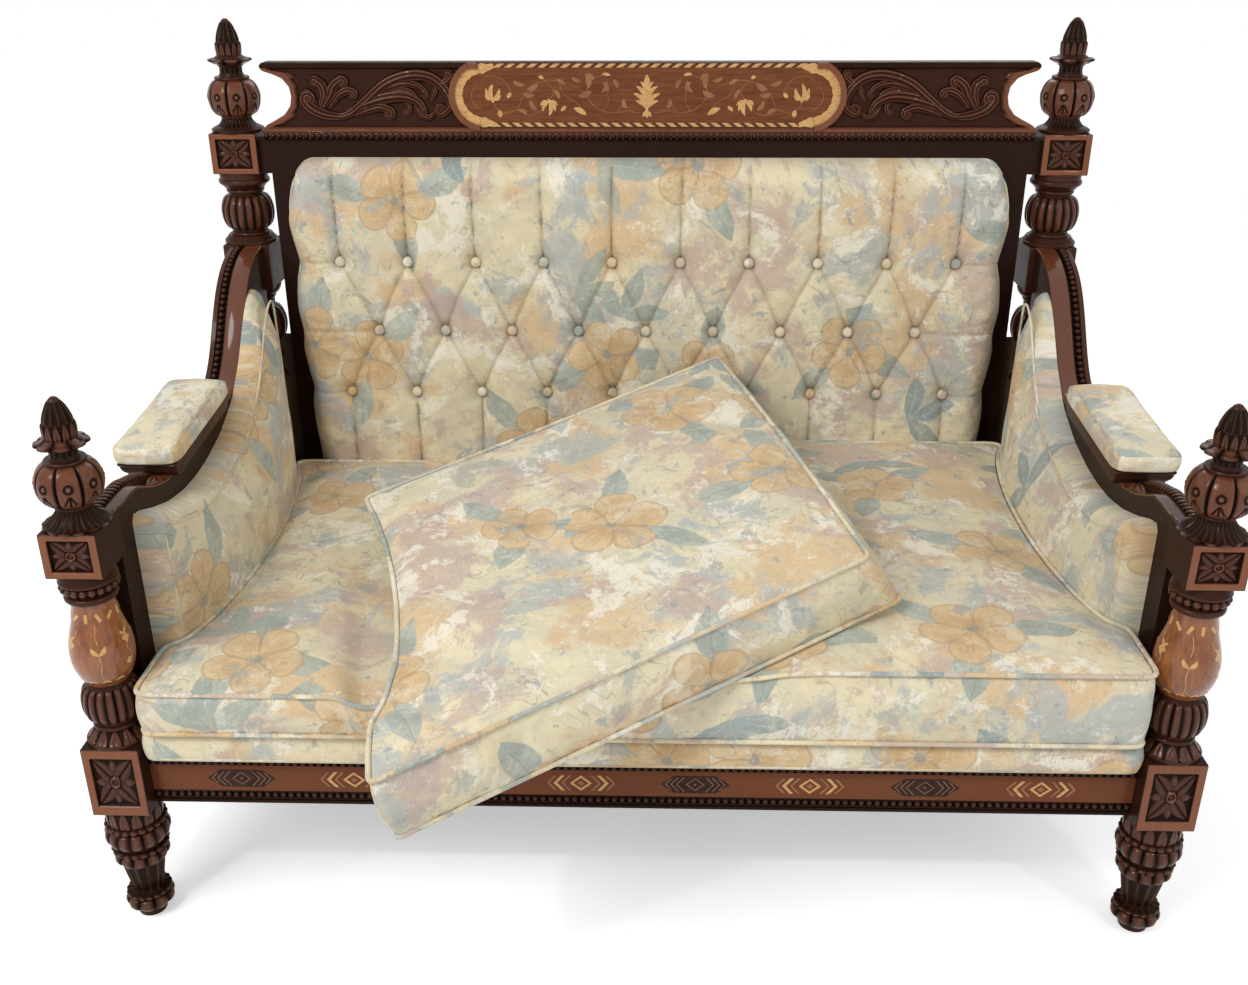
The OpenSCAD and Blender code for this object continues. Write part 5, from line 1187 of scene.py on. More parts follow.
for name, grain, nodes in (
        ("across", (3.0, 26.0, 26.0),
         ("front_rail", "back_rail", "back_top_rail", "back_low_rail", "back_board")),
        ("deep", (26.0, 3.0, 26.0),
         ("side_rail_left", "side_rail_right", "side_board_left", "side_board_right")),
        ("upright", (26.0, 26.0, 3.0),
         ("side_stiles_left", "side_stiles_right", "back_stile_left", "back_stile_right", "corner_blocks",
          "crest_dowels"))):
    finish_nodes(mahogany("dark_mahogany_" + name, DARK_TONES, grain, level=0.5), *nodes)

# Under the seat: woven jute webbing, a black cambric dust cover, and steel screws in the blocks.
jute = Finish("jute_webbing")
strand_waves = [jute.node("TexWave", {"bands_direction": axis}, {"Vector": jute.here(), "Scale": 190.0})
                for axis in ("X", "Y")]
jute_weave = strand_waves[0] * strand_waves[1]
jute_tone = jute.noise(jute.here(), 140.0, 4.0) * 0.6 + jute_weave * 0.4
jute.set(Base_Color=jute.blend(jute_tone, (0.13, 0.082, 0.040), (0.33, 0.235, 0.130)), Roughness=0.9,
         Specular_IOR_Level=0.15, Normal=jute.bump(jute_weave, 0.5, 0.0008))
cambric = Finish("black_cambric")
cambric_web = cambric.noise(cambric.here(), 260.0, 4.0)
cambric_tone = cambric_web * 0.5 + cambric.noise(cambric.here(), 6.0, 2.0) * 0.5
cambric.set(Base_Color=cambric.blend(cambric_tone, (0.006, 0.006, 0.007), (0.024, 0.024, 0.026)),
            Roughness=0.85, Specular_IOR_Level=0.15, Normal=cambric.bump(cambric_web, 0.3, 0.0005))
steel = Finish("screw_steel")
steel_wear = steel.noise(steel.here(), 300.0, 3.0)
steel.set(Base_Color=steel.blend(steel_wear, (0.20, 0.19, 0.18), (0.42, 0.41, 0.39)), Metallic=1.0,
          Roughness=steel_wear * 0.25 + 0.28)
finish_nodes(jute, "seat_webbing")
finish_nodes(cambric, "dust_cover")
finish_nodes(steel, "corner_screws")

# Wing boards. Between each back stile and its post a thin board of bare secondary wood closes
# the lower half of the gap, tongued into the stile and the post.
bare_wood = mahogany("bare_wood", [(0.0, (0.045, 0.030, 0.019)), (1.0, (0.175, 0.120, 0.080))], roughness=0.6,
                     level=0.5)
WING_PLAN = ((655.0, 872.0), (700.0, 872.0), (700.0, 880.0), (655.0, 880.0))
wing = Workpiece()
wing_rows = np.array([[(x, y, z) for x, y in WING_PLAN] for z in (305.0, 320.0, 622.0, 624.0)])
wing.grid(wing_rows, ring=True, caps=True)
wing.make_pair("back_wing_{}", bare_wood, "dark_wood", crease=30.0)


# Printed furnishing cotton for all the upholstery: a mottled cream ground with soft white,
# blue-grey and mauve washes, and loose five-petalled flowers in apricot with blue-green leaves
# behind them. The layout is scattered by cells, each turned and sized by its own numbers.
WHITE_AT = (-4.4, 0.6, 0.0)


def srgb(*levels):
    """A screen colour from 0 to 255 as the linear light that a shader takes."""
    return tuple(((v / 255.0 + 0.055) / 1.055) ** 2.4 for v in levels)


def wash(uv, scale, low, high, detail=5.0, rough=0.6, bend=0.3):
    """A soft-edged patch: 0 where the noise is under low, 1 where it is over high."""
    return uv.finish.noise(uv, scale, detail, rough, bend, flat=True).step(low, high)


def scattered(uv, scale, loose):
    """Splits the cloth into cells. Returns the place in the cell, in metres, turned by the cell's
    own angle, and the cell's three numbers between 0 and 1."""
    cloth = uv.finish
    cells = cloth.node("TexVoronoi", {"voronoi_dimensions": "2D"},
                       {"Vector": uv, "Scale": scale, "Randomness": loose}, "Position")
    numbers = Shade(cloth, cells.socket.node.outputs["Color"])
    apart = cloth.node("VectorMath", {"operation": "SUBTRACT"}, {0: uv, 1: cells})
    x, y = (cloth.node("SeparateXYZ", {}, {0: apart}, i) for i in range(2))
    number = [cloth.node("SeparateColor", {}, {0: numbers}, i) for i in range(3)]
    turn = number[0] * (2.0 * math.pi)
    return x * turn.cos() + y * turn.sin(), y * turn.cos() - x * turn.sin(), number


def leaves_on_cloth(x, y, leaves):
    """Pointed leaves, each with its turn, how far out its middle lies, its length and its width.
    The half width is width times 1 less the square of the place over length. Returns their
    mask and their veins."""
    body = veins = None
    for turn, far, length, width in leaves:
        c, s = math.cos(turn), math.sin(turn)
        along, across = x * c + y * s - far, (y * c - x * s).abs()
        taper = (1.0 - (along / length) ** 2.0).max(0.0001)
        leaf = 1.0 - (across / (taper * width)).step(0.86, 1.04)
        ribs = ((along - across * 0.8) * 520.0).sin().step(0.72, 1.0) * 0.35
        vein = (1.0 - across.step(0.0003, 0.0012) + ribs).min(1.0) * leaf
        body, veins = (leaf, vein) if body is None else (body.max(leaf), veins.max(vein))
    return body, veins


def cotton_ground(cloth, uv):
    """The mottled cream ground with its washes of tan, blue-grey, mauve and white."""
    ground = cloth.blend(wash(uv, 9.0, 0.40, 0.60), srgb(229, 217, 182), srgb(217, 207, 178))
    ground = cloth.blend(wash(uv, 5.2, 0.50, 0.60) * 0.75, ground, srgb(217, 184, 140))
    for share, colour, place, *patch in (
            (0.8, (178, 184, 182), (3.7, 1.9, 0.0), 6.0, 0.52, 0.60, 8.0, 0.68),
            (0.75, (197, 174, 160), (-2.1, 5.3, 0.0), 5.0, 0.535, 0.60, 8.0, 0.68),
            (0.85, (239, 233, 215), WHITE_AT, 8.5, 0.53, 0.60, 11.0, 0.78, 0.25)):
        ground = cloth.blend(wash(cloth.moved(uv, Location=place), *patch) * share, ground, srgb(*colour))
    return ground


def blossoms(cloth, uv, ground):
    """Flowers with three leaves behind each. Also returns the mask of the flowers."""
    x, y, number = scattered(uv, 3.9, 0.8)
    size = number[1] * 0.026 + 0.057
    leaves, veins = leaves_on_cloth(x, y, ((0.5, size * 1.18, size * 0.78, 0.022),
                                           (2.5, size * 1.1, size * 0.663, 0.022),
                                           (4.3, size * 1.2, size * 0.741, 0.022)))
    present = number[2].step(0.16, 0.18)
    leaf_colour = cloth.blend(wash(uv, 22.0, 0.35, 0.65), srgb(150, 162, 156), srgb(178, 188, 176))
    leaf_colour = cloth.blend(veins * 0.6, leaf_colour, srgb(104, 122, 124))
    ground = cloth.blend(leaves * present * 0.82, ground, leaf_colour)
    far, angle = (x * x + y * y).sqrt(), y.angle_from(x)
    petal = (angle * 2.5).cos().abs()
    share = far / (size * (petal ** 0.55 * 0.42 + 0.58))
    bloom = (1.0 - share.step(0.97, 1.01)) * present
    fine_vein = (angle * 34.0).sin().step(0.55, 1.0) * 0.28 * (1.0 - share.step(0.45, 0.95))
    stamens = (angle * 11.0).sin().step(0.5, 0.9) * (1.0 - (far - 0.0125).abs().step(0.0012, 0.003))
    eye = 1.0 - far.step(0.006, 0.011)
    colour = srgb(202, 164, 112)
    for part, tint in ((share.step(0.25, 1.0), (216, 184, 138)),
                       (wash(uv, 30.0, 0.40, 0.66) * 0.55, (226, 206, 166)),
                       (((1.0 - petal.step(0.06, 0.34)) * 0.55 + fine_vein).min(1.0), (168, 132, 92)),
                       (share.step(0.90, 0.985) * 0.5, (160, 128, 96)),
                       ((eye * 0.8 + stamens * 0.7).min(1.0), (134, 138, 130))):
        colour = cloth.blend(part, colour, srgb(*tint))
    worn = 1.0 - wash(uv, 11.0, 0.62, 0.68, 8.0, 0.7) * 0.5
    return cloth.blend(bloom * 0.90 * worn, ground, colour), bloom


def sprays(cloth, uv, ground, bloom):
    """Three leaves on their own, where there is no flower."""
    x, y, number = scattered(cloth.moved(uv, Location=(7.31, 2.77, 0.0)), 3.6, 0.9)
    spray, lines = leaves_on_cloth(x, y, ((0.0, 0.048, 0.044, 0.0175), (1.05, 0.043, 0.044, 0.0175),
                                          (-1.1, 0.041, 0.044, 0.0175)))
    tint = cloth.blend(number[2], srgb(136, 152, 156), srgb(166, 176, 162))
    tint = cloth.blend(lines * 0.55, tint, srgb(196, 202, 190))
    return cloth.blend(spray * number[1].step(0.38, 0.40) * (1.0 - bloom) * 0.85, ground, tint)


def specks(cloth, flat, uv, ground):
    """Pencil curls, and white, blue and grey specks thrown over the whole print."""
    pale = cloth.moved(uv, Location=WHITE_AT)
    blue = cloth.moved(uv, Location=(1.7, -6.2, 0.0))
    level = cloth.noise(pale, 13.0, 1.0, bend=1.4, flat=True)
    curl = 1.0 - ((level * 5.0).fraction() - 0.5).abs().step(0.012, 0.045)
    mottle = cloth.noise(flat, 75.0, 6.0, 0.75, flat=True)
    for share, tint in ((curl * wash(pale, 4.5, 0.47, 0.55) * 0.42, (136, 132, 116)),
                        (wash(pale, 8.5, 0.56, 0.62, 11.0, 0.78, 0.25) * 0.30, (238, 232, 214)),
                        (wash(blue, 26.0, 0.635, 0.665, 6.0, 0.7) * 0.6, (150, 158, 158)),
                        (wash(blue, 8.0, 0.60, 0.65, 9.0, 0.72) * 0.55, (160, 172, 172)),
                        (mottle.step(0.52, 0.66) * wash(flat, 7.0, 0.42, 0.56) * 0.30, (158, 154, 142)),
                        ((1.0 - mottle).step(0.56, 0.68) * 0.28, (240, 234, 216))):
        ground = cloth.blend(share, ground, srgb(*tint))
    return ground


def floral_cotton(name):
    """The printed cotton: its ground, flowers, sprays and specks, with painted shade in the pleats, on a
    crumpled weave."""
    cloth = Finish(name)
    flat = cloth.node("UVMap", {"uv_map": "cloth"}, {})
    drift = cloth.noise(flat, 16.0, 2.0, flat=True, out="Color")
    drift = cloth.node("VectorMath", {"operation": "SUBTRACT"}, {0: drift, 1: (0.5, 0.5, 0.5)})
    uv = cloth.node("VectorMath", {"operation": "MULTIPLY_ADD"}, {0: drift, 1: (0.016, 0.016, 0.0), 2: flat})
    ground, bloom = blossoms(cloth, uv, cotton_ground(cloth, uv))
    ground = specks(cloth, flat, uv, sprays(cloth, uv, ground, bloom))
    # painted shade: the cloth turns darker where the relief is under 0.5, along the tufted back's creases and
    # round its buttons
    pleat = cloth.node("Attribute", {"attribute_name": "relief"}, {}, 2)
    ground = cloth.blend((0.5 - pleat).max(0.0) * 1.3, ground, srgb(112, 92, 66))
    warp, weft = (cloth.noise(cloth.moved(flat, Scale=scale), 1500.0, 1.0, flat=True)
                  for scale in ((1.0, 0.12, 1.0), (0.12, 1.0, 1.0)))
    weave = cloth.bump(warp + weft, 0.35, 0.0003)
    crumpled = cloth.bump(cloth.noise(flat, 34.0, 3.0, flat=True), 0.22, 0.003, Normal=weave)
    ground = cloth.blend(warp * weft * 0.30, ground, srgb(120, 112, 92))
    return cloth.set(Base_Color=ground, Roughness=0.86, Sheen_Weight=0.12, Normal=crumpled)


floral = floral_cotton("floral_cotton")


def evenly(points, step, ring=False):
    """The same line with its points an even step apart."""
    points = np.asarray(points, float)
    if ring:
        points = np.concatenate([points, points[:1]])
    far = curve_length(points)
    count = max(4, int(round(far[-1] / step)))
    return points_at(np.linspace(0.0, far[-1], count + 1)[:-1 if ring else None], far, points)


def piping(work, path, radius, ring=True, around=10, print_at=(0.0, 0.0)):
    """A covered cord: a round tube along the path, its cloth unrolled along the cord."""
    path = np.asarray(path, float)
    along = unit(np.roll(path, -1, 0) - np.roll(path, 1, 0) if ring else np.gradient(path, axis=0))
    upright = np.ptp(path[:, 1]) < np.ptp(path[:, 2]) * 0.2
    back, upward = np.array([0.0, 1.0, 0.0]), np.array([0.0, 0.0, 1.0])
    side = unit(np.cross(along, back if upright else np.where(np.abs(along[:, 2:]) > 0.9, back, upward)))
    lift = np.cross(side, along)
    angle = spokes(around)
    outward = np.cos(angle)[:, None] * side[:, None] + np.sin(angle)[:, None] * lift[:, None]
    rows = path[:, None] + radius * outward
    far = curve_length(path)[:, None]
    flat = np.stack(np.broadcast_arrays(far * MM, angle * radius * MM), axis=-1) + print_at
    if ring:
        rows, flat = (np.concatenate([grid, grid[:1]]) for grid in (rows, flat))
    work.grid(rows, 0.5, flat, ring=True, caps=not ring, flip=True)


def local_points(mesh):
    """The mesh's points in its own metres."""
    flat = np.empty(len(mesh.vertices) * 3, np.float32)
    mesh.vertices.foreach_get("co", flat)
    return flat.reshape(-1, 3)


def points_of(piece):
    """The piece's points in the sofa's millimetres."""
    return local_points(piece.data) / MM + ORIGIN


def stuffed(piece, sewn, slack, push, most, room=None):
    """Fills a cover by cloth simulation: its own mesh, cut a little large by the slack, is blown
    out by the stuffing while the sewn points stay, and no point moves further than most. Room
    then keeps the points inside their space. The result is kept in the mesh."""
    mesh = piece.data
    group = piece.vertex_groups.new(name="sewn")
    group.add(np.flatnonzero(sewn(points_of(piece))).tolist(), 1.0, "REPLACE")
    cloth = piece.modifiers.new("stuffing", "CLOTH")
    cloth.settings.quality = 2
    cloth.settings.mass = 0.25
    cloth.settings.tension_stiffness = cloth.settings.compression_stiffness = 12.0
    cloth.settings.shear_stiffness = 8.0
    cloth.settings.bending_stiffness = 0.25
    cloth.settings.use_pressure = True
    cloth.settings.uniform_pressure_force = push
    cloth.settings.shrink_min = cloth.settings.shrink_max = -slack
    cloth.settings.effector_weights.gravity = 0.0
    cloth.settings.vertex_group_mass = "sewn"
    cloth.collision_settings.use_collision = False
    frames = 12
    cloth.point_cache.frame_start, cloth.point_cache.frame_end = 1, frames
    start = local_points(mesh)
    for frame_number in range(1, frames + 1):
        bpy.context.scene.frame_set(frame_number)
    move = local_points(piece.evaluated_get(bpy.context.evaluated_depsgraph_get()).data) - start
    piece.modifiers.remove(cloth)
    piece.vertex_groups.remove(group)
    bpy.context.scene.frame_set(1)
    far = np.linalg.norm(move, axis=1, keepdims=True) + 1e-9
    points = start + move / far * most * np.tanh(far / most)
    if room is not None:
        points = (room(points / MM + ORIGIN) - ORIGIN) * MM
    mesh.vertices.foreach_set("co", points.astype(np.float32).ravel())
    mesh.update()


# Tufted back. One padded panel fills the back frame; ten, nine and ten covered buttons are
# drawn in by twine, straight channels are sewn from the top row to the top edge and from the
# low row down, and slack pleats cross between the rows. A cord edges the top and sides.
TUFT_HALF, TUFT_LOW, TUFT_TOP = 621.0, 333.3, 954.0
TUFT_FRONT, TUFT_REAR = 792.7, 850.7
TUFT_CORNER = 34.0
BUTTON_ROWS = [(778.0, 10), (652.0, 9), (534.0, 10)]
BUTTON_PITCH = 121.0
TUFT_SIDE = [(333.0, 618.0), (420.0, 623.0), (470.0, 628.0), (515.0, 628.0), (542.0, 623.0), (575.0, 629.0),
             (620.0, 635.0), (652.0, 631.0), (700.0, 638.0), (740.0, 635.0), (776.0, 624.0), (800.0, 627.0),
             (830.0, 633.0), (862.0, 638.0), (900.0, 630.0), (930.0, 620.0), (954.0, 615.0)]
buttons_at = [np.stack([(np.arange(n) - (n - 1) / 2.0) * BUTTON_PITCH, np.full(n, z)], axis=-1)
              for z, n in BUTTON_ROWS]
# half width of the panel: it swells between the rows of buttons and is drawn in at them
tuft_edge = eased(TUFT_SIDE, 300.0, 990.0, 346, 13)


def far_from_line(x, z, a, b):
    """Distance of x, z from the straight line between a and b, and the share along it."""
    d = b - a
    share = np.clip(((x - a[0]) * d[0] + (z - a[1]) * d[1]) / (d @ d), 0.0, 1.0)
    return np.hypot(x - a[0] - share * d[0], z - a[1] - share * d[1]), share


def sewn_lines():
    """The lines drawn in on the face: from a to b, then how deep and wide its trough is, how deep
    the fold at its bottom and how much of that is gone at b, and the fold's width."""
    for i, row in enumerate(buttons_at):
        below = buttons_at[i + 1] if i + 1 < len(buttons_at) else []
        for a in row:
            for b in below:
                if abs(abs(a[0] - b[0]) - BUTTON_PITCH / 2) < 1.0:
                    middle = (a + b) / 2.0 + (3.0 * np.sign(b[0] - a[0]), 2.0)
                    for end in (a, b):
                        yield end, middle, 7.0, 12.0, 4.0, 0.25, 2.8
        for n, a in enumerate(row):
            for k, angle in enumerate((-128, -107, -88, -70, -52) if i < 2 else (60, 120, 90)):
                reach = 30.0 + 16.0 * math.sin(n * 2.3 + k * 1.7 + i) + (8.0 if k == 2 else 0.0)
                way = math.radians(angle + 5.0 * math.sin(n * 1.9 + k * 2.9))
                yield a, a + reach * np.array([math.cos(way), math.sin(way)]), 1.5, 5.0, 2.6, 0.9, 2.2
        for way, a in ((-1.0, row[0]), (1.0, row[-1])):
            for dz, deep, fold in ((0.0, 3.0, 2.6), (-25.6, 1.0, 1.5), (24.0, 1.0, 1.5)):
                yield a, np.array([way * TUFT_HALF, a[1] + dz]), deep, 9.0, fold, 0.4, 2.4
    for row, end in ((buttons_at[0], TUFT_TOP), (buttons_at[-1], TUFT_LOW)):
        for n, a in enumerate(row):
            lean = 3.0 * math.sin(n * 1.7)
            yield a, np.array([a[0] + lean, end]), 8.0, 11.0, 5.0, 0.15, 2.6
            yield a, a + (lean * 3.0 + 9.0, 0.28 * (end - a[1])), 1.0, 5.0, 1.6, 0.9, 2.2


def pulled_in(x, z):
    """How far the face is drawn in: deep at a button, a sharp pleat along each sewn line, a fan of
    short creases under each button, and a low dome between them. Also returns the mask for the
    painted shade of the creases, and the distance from the nearest button."""
    dent, crease = np.zeros_like(x), np.zeros_like(x)
    for a, b, deep, wide, fold, gone, thin in sewn_lines():
        far, share = far_from_line(x, z, a, b)
        fade = 1.0 - gone * share
        np.maximum(dent, fade * (deep * np.exp(-far / wide) + fold * np.exp(-far / thin)), out=dent)
        np.maximum(crease, fade * np.exp(-(far / (thin * 0.8)) ** 2) * min(1.0, fold / 4.0), out=crease)
    near = np.full_like(x, 1e9)
    for bx, bz in np.concatenate(buttons_at):
        near = np.minimum(near, np.hypot(x - bx, (z - bz) * 0.92))
    wobble = np.sin(x * 0.11 + 3.0 * np.sin(z * 0.021)) * np.sin(z * 0.09 + 2.0 * np.sin(x * 0.017))
    hole = 22.0 * np.exp(-(near / 12.0) ** 1.5) + 5.0 * np.exp(-near / 36.0)
    return dent * (1.0 - np.exp(-near / 14.0) * 0.5) + hole + 0.9 * wobble, crease, near


def closer_at_ends(low, high, first, inner, last):
    """Steps from 0 to 1 that lie closer together below low and above high."""
    return np.concatenate([np.linspace(0, low, first)[:-1], np.linspace(low, high, inner),
                           np.linspace(high, 1, last)[1:]])


s_grid, t_grid = np.meshgrid(closer_at_ends(0.03, 0.97, 12, 424, 12), closer_at_ends(0.04, 0.94, 8, 194, 14))
tuft_tall = TUFT_TOP - TUFT_LOW
edge = tuft_edge(TUFT_LOW + t_grid * tuft_tall)
x_grid = (2.0 * s_grid - 1.0) * edge
corner = np.clip(np.abs(x_grid) - (edge - TUFT_CORNER), 0.0, TUFT_CORNER)
z_grid = TUFT_LOW + t_grid * (tuft_tall - TUFT_CORNER + np.sqrt(TUFT_CORNER ** 2 - corner ** 2))
dent, crease, near = pulled_in(x_grid, z_grid)
from_edge = np.minimum(edge - np.abs(x_grid), (1.0 - t_grid) * tuft_tall)
roll = 1.0 - np.sqrt(1.0 - (1.0 - np.clip(from_edge, 0.0, 44.0) / 44.0) ** 2)
y_grid = TUFT_FRONT + 2.0 + dent * np.clip(from_edge / 12.0, 0.15, 1.0) + (TUFT_REAR - TUFT_FRONT) * roll
y_grid = np.minimum(y_grid, TUFT_REAR)
# painted shade: the face is darker along the creases and round each button, where the padding is drawn in;
# the cotton reads this from the relief
shade = 0.5 - 0.30 * crease * np.clip(from_edge / 10.0, 0.0, 1.0) - 0.22 * np.exp(-(near / 13.0) ** 4)
tufted = Workpiece()
face = np.stack([x_grid, y_grid, z_grid], axis=-1)
rear = face * (1.0, 0.0, 1.0) + (0.0, TUFT_REAR, 0.0)
print_flat = face[..., [0, 2]] * MM
tufted.grid(face, shade, print_flat)
for part in (np.s_[0], np.s_[-1], np.s_[:, 0], np.s_[:, -1]):
    side_print = np.stack([print_flat[part], print_flat[part] + (0.0, 0.03)])
    tufted.grid(np.stack([face[part], rear[part]]), 0.5, side_print)
rear_loop = rim_of(rear)
tufted.grid(np.stack([rear_loop, np.broadcast_to((0.0, TUFT_REAR, 640.0), rear_loop.shape)]), 0.5, ring=True)
tufted_back = tufted.make("tufted_back_cover", floral, "floral_fabric", "tufted_back", crease=80.0, weld=1e-5)

edge_z = np.linspace(TUFT_LOW + 2.0, TUFT_TOP - 34.0, 60)
arc = np.linspace(0.0, QUARTER, 9)
cord_corner = np.stack([TUFT_HALF - 37.0 + 28.0 * np.cos(arc), TUFT_TOP - 32.0 + 28.0 * np.sin(arc)], axis=-1)
cord_side = np.stack([tuft_edge(edge_z) - 4.0, edge_z], axis=-1)
half_edge = np.concatenate([cord_side, cord_corner, [[0.0, TUFT_TOP - 4.0]]])
whole_edge = np.concatenate([half_edge, half_edge[-2::-1] * (-1.0, 1.0)])
cord_line = in_plane(relaxed(evenly(whole_edge, 6.0), 4), TUFT_REAR - 7.0)
tuft_cord = Workpiece()
piping(tuft_cord, cord_line, 2.6, ring=False, print_at=(0.1, 0.4))
tuft_cord.make("tufted_back_piping", floral, "floral_fabric", crease=80.0)

# a button: a low dome, its last ring carried back into the padding
buttons = Workpiece()
spin = spokes(20)
dome = np.linspace(0.0, QUARTER, 8)[1:]
radii = 9.2 * np.append(np.sin(dome), 1.0)[:, None] ** 0.8
depths = TUFT_FRONT + np.append(13.0 + 6.0 * (1.0 - np.cos(dome)), 25.0)[:, None]
for bx, bz in np.concatenate(buttons_at):
    rings = np.stack([bx + radii * np.cos(spin), bz + radii * np.sin(spin)], axis=-1)
    rows = in_plane(rings, depths)
    buttons.grid(rows, 0.5, rows[..., [0, 2]] * MM + 0.05, ring=True, caps=True)
buttons.make("back_buttons_covered", floral, "floral_fabric", "back_buttons", crease=60.0)


# Arm linings. A padded panel lines the inside of each arm: its edge is a boxed strip sewn to
# the face, its top follows the arm up to a rounded peak at the back, and its face domes inwards.
LINING_FRONT, LINING_REAR = 129.0, 772.0
LINING_LONG = LINING_REAR - LINING_FRONT
LINING_OUT, LINING_IN = 689.7, 655.7
LINING_LOW, LINING_APEX = 333.3, 750.0
LINING_TOP = [(0, 0.615), (0.012, 0.64), (0.04, 0.632), (0.11, 0.592), (0.20, 0.552), (0.295, 0.53),
              (0.38, 0.527), (0.465, 0.538), (0.574, 0.571), (0.69, 0.641), (0.786, 0.76), (0.853, 0.885),
              (0.90, 0.958), (0.935, 0.988), (0.965, 0.995), (0.99, 0.965), (1, 0.93)]
top_share = eased(LINING_TOP, 0.0, 1.0, 400, 17)


def lining_top(u):
    """Height of the lining's top edge at the share u from its front to its back."""
    return LINING_LOW + top_share(u) * (LINING_APEX - LINING_LOW)


def lining_dome(u, v):
    """How far the face domes inwards at the shares u of its length and v of its height."""
    return 48.0 * (4.0 * u * (1.0 - u)) ** 0.7 * (1.0 - v ** 3) ** 0.8


def close_lines(count, ends, reach):
    """Shares from 0 to 1, with more of them within reach of either end."""
    near = (np.linspace(0.0, 1.0, ends) ** 1.6) * reach
    return np.concatenate([near[:-1], np.linspace(reach, 1.0 - reach, count), (1.0 - near)[::-1][1:]])


u_grid, v_grid = np.meshgrid(close_lines(150, 12, 0.035), close_lines(92, 12, 0.05), indexing="xy")
y_side = LINING_FRONT + u_grid * LINING_LONG
top = lining_top(u_grid)
z_side = LINING_LOW + v_grid * (top - LINING_LOW)
shares = np.linspace(0, 1, 400)
lean = np.interp(u_grid, shares, np.gradient(lining_top(shares), LINING_LONG / 399.0))
to_ends = np.minimum(y_side - LINING_FRONT, LINING_REAR - y_side)
edge_far = np.minimum(to_ends, (top - z_side) / np.sqrt(1.0 + lean ** 2))
boxed = (LINING_OUT - LINING_IN) * np.sqrt(1.0 - (1.0 - np.clip(edge_far, 0.0, 15.0) / 15.0) ** 2)
dome = lining_dome(u_grid, v_grid) * np.clip((edge_far - 8.0) / 60.0, 0.0, 1.0) ** 0.5
seam = 1.6 * bump_at(edge_far - 19.0, 2.0) - 2.2 * bump_at(edge_far - 24.0, 3.0)
ripple = 1.3 * np.sin(y_side * 0.028 + 1.2 * np.sin(z_side * 0.019)) * np.sin(z_side * 0.024 + 0.8)
ripple = ripple * np.clip(edge_far / 60.0, 0, 1)


def ease(x, a, b):
    """0 before a, 1 after b, and a smooth S between."""
    t = np.clip((x - a) / (b - a), 0.0, 1.0)
    return t * t * (3.0 - 2.0 * t)


depth = (boxed + dome + seam + ripple) * (1.0 - 0.60 * ease(z_side, 640.0, 740.0))
lining = Workpiece()
lining_face = np.stack([LINING_OUT - depth, y_side, z_side], axis=-1)
lining_back = lining_face * (0.0, 1.0, 1.0) + (LINING_OUT, 0.0, 0.0)
cloth_side = lining_face[..., 1:] * MM
lining.grid(lining_face, 0.5, cloth_side)
low_print = np.stack([cloth_side[0] - (0, 0.03), cloth_side[0]])
lining.grid(np.stack([lining_back[0], lining_face[0]]), 0.5, low_print)
back_loop = rim_of(lining_back)
back_middle = np.broadcast_to((LINING_OUT, 480.0, 440.0), back_loop.shape)
lining.grid(np.stack([back_loop, back_middle]), 0.5, ring=True)

seam_in = 17.0
seam_u = np.linspace(0.0, 1.0, 300)
front_z = np.linspace(LINING_LOW + 2, lining_top(0.03) - 22.0, 40)
rear_z = np.linspace(lining_top(0.97) - 24.0, LINING_LOW + 2, 60)
seam_y = np.concatenate([np.full(40, LINING_FRONT + seam_in),
                         LINING_FRONT + seam_in + (LINING_LONG - 2.0 * seam_in) * seam_u,
                         np.full(60, LINING_REAR - seam_in)])
seam_z = np.concatenate([front_z, lining_top(seam_u * 0.95 + 0.025) - 18.0, rear_z])
seam_y, seam_z = relaxed(evenly(np.stack([seam_y, seam_z], -1), 5.0), 10).T
seam_share = np.clip((seam_y - LINING_FRONT) / LINING_LONG, 0, 1)
seam_up = np.clip((seam_z - LINING_LOW) / (lining_top(seam_share) - LINING_LOW), 0, 1)
seam_x = LINING_IN + 1.2 - lining_dome(seam_share, seam_up) * (10.0 / 60.0) ** 0.5
seam_line = np.stack([seam_x, seam_y, seam_z], axis=-1)
lining_cord = Workpiece()
piping(lining_cord, seam_line, 1.9, ring=False, around=8, print_at=(0.3, 0.2))
for cover in lining.make_pair("arm_lining_{}_cover", floral, "floral_fabric", "arm_lining_{}", crease=80.0,
                              weld=1e-5):
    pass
lining_cord.make_pair("arm_lining_{}_seam", floral, "floral_fabric", crease=80.0, weld=1e-5)


# Arm pads, the deck, the seat cushion and the loose cushion. Each is a closed pillow on an
# outline: a flat underside, a side band that swells a little, and a crowned top.
def along_outline(outline):
    """Outward direction at each point of a closed outline that runs anticlockwise."""
    return -left_of(unit(np.roll(outline, -1, 0) - np.roll(outline, 1, 0)))


def closed(rows):
    """The same rows with their first column again at the end."""
    return np.concatenate([rows, rows[:, :1]], axis=1)


def at_height(p, z):
    """Points of a flat outline, set at the height z."""
    return np.concatenate([p, np.broadcast_to(z, p.shape[:-1])[..., None]], axis=-1)


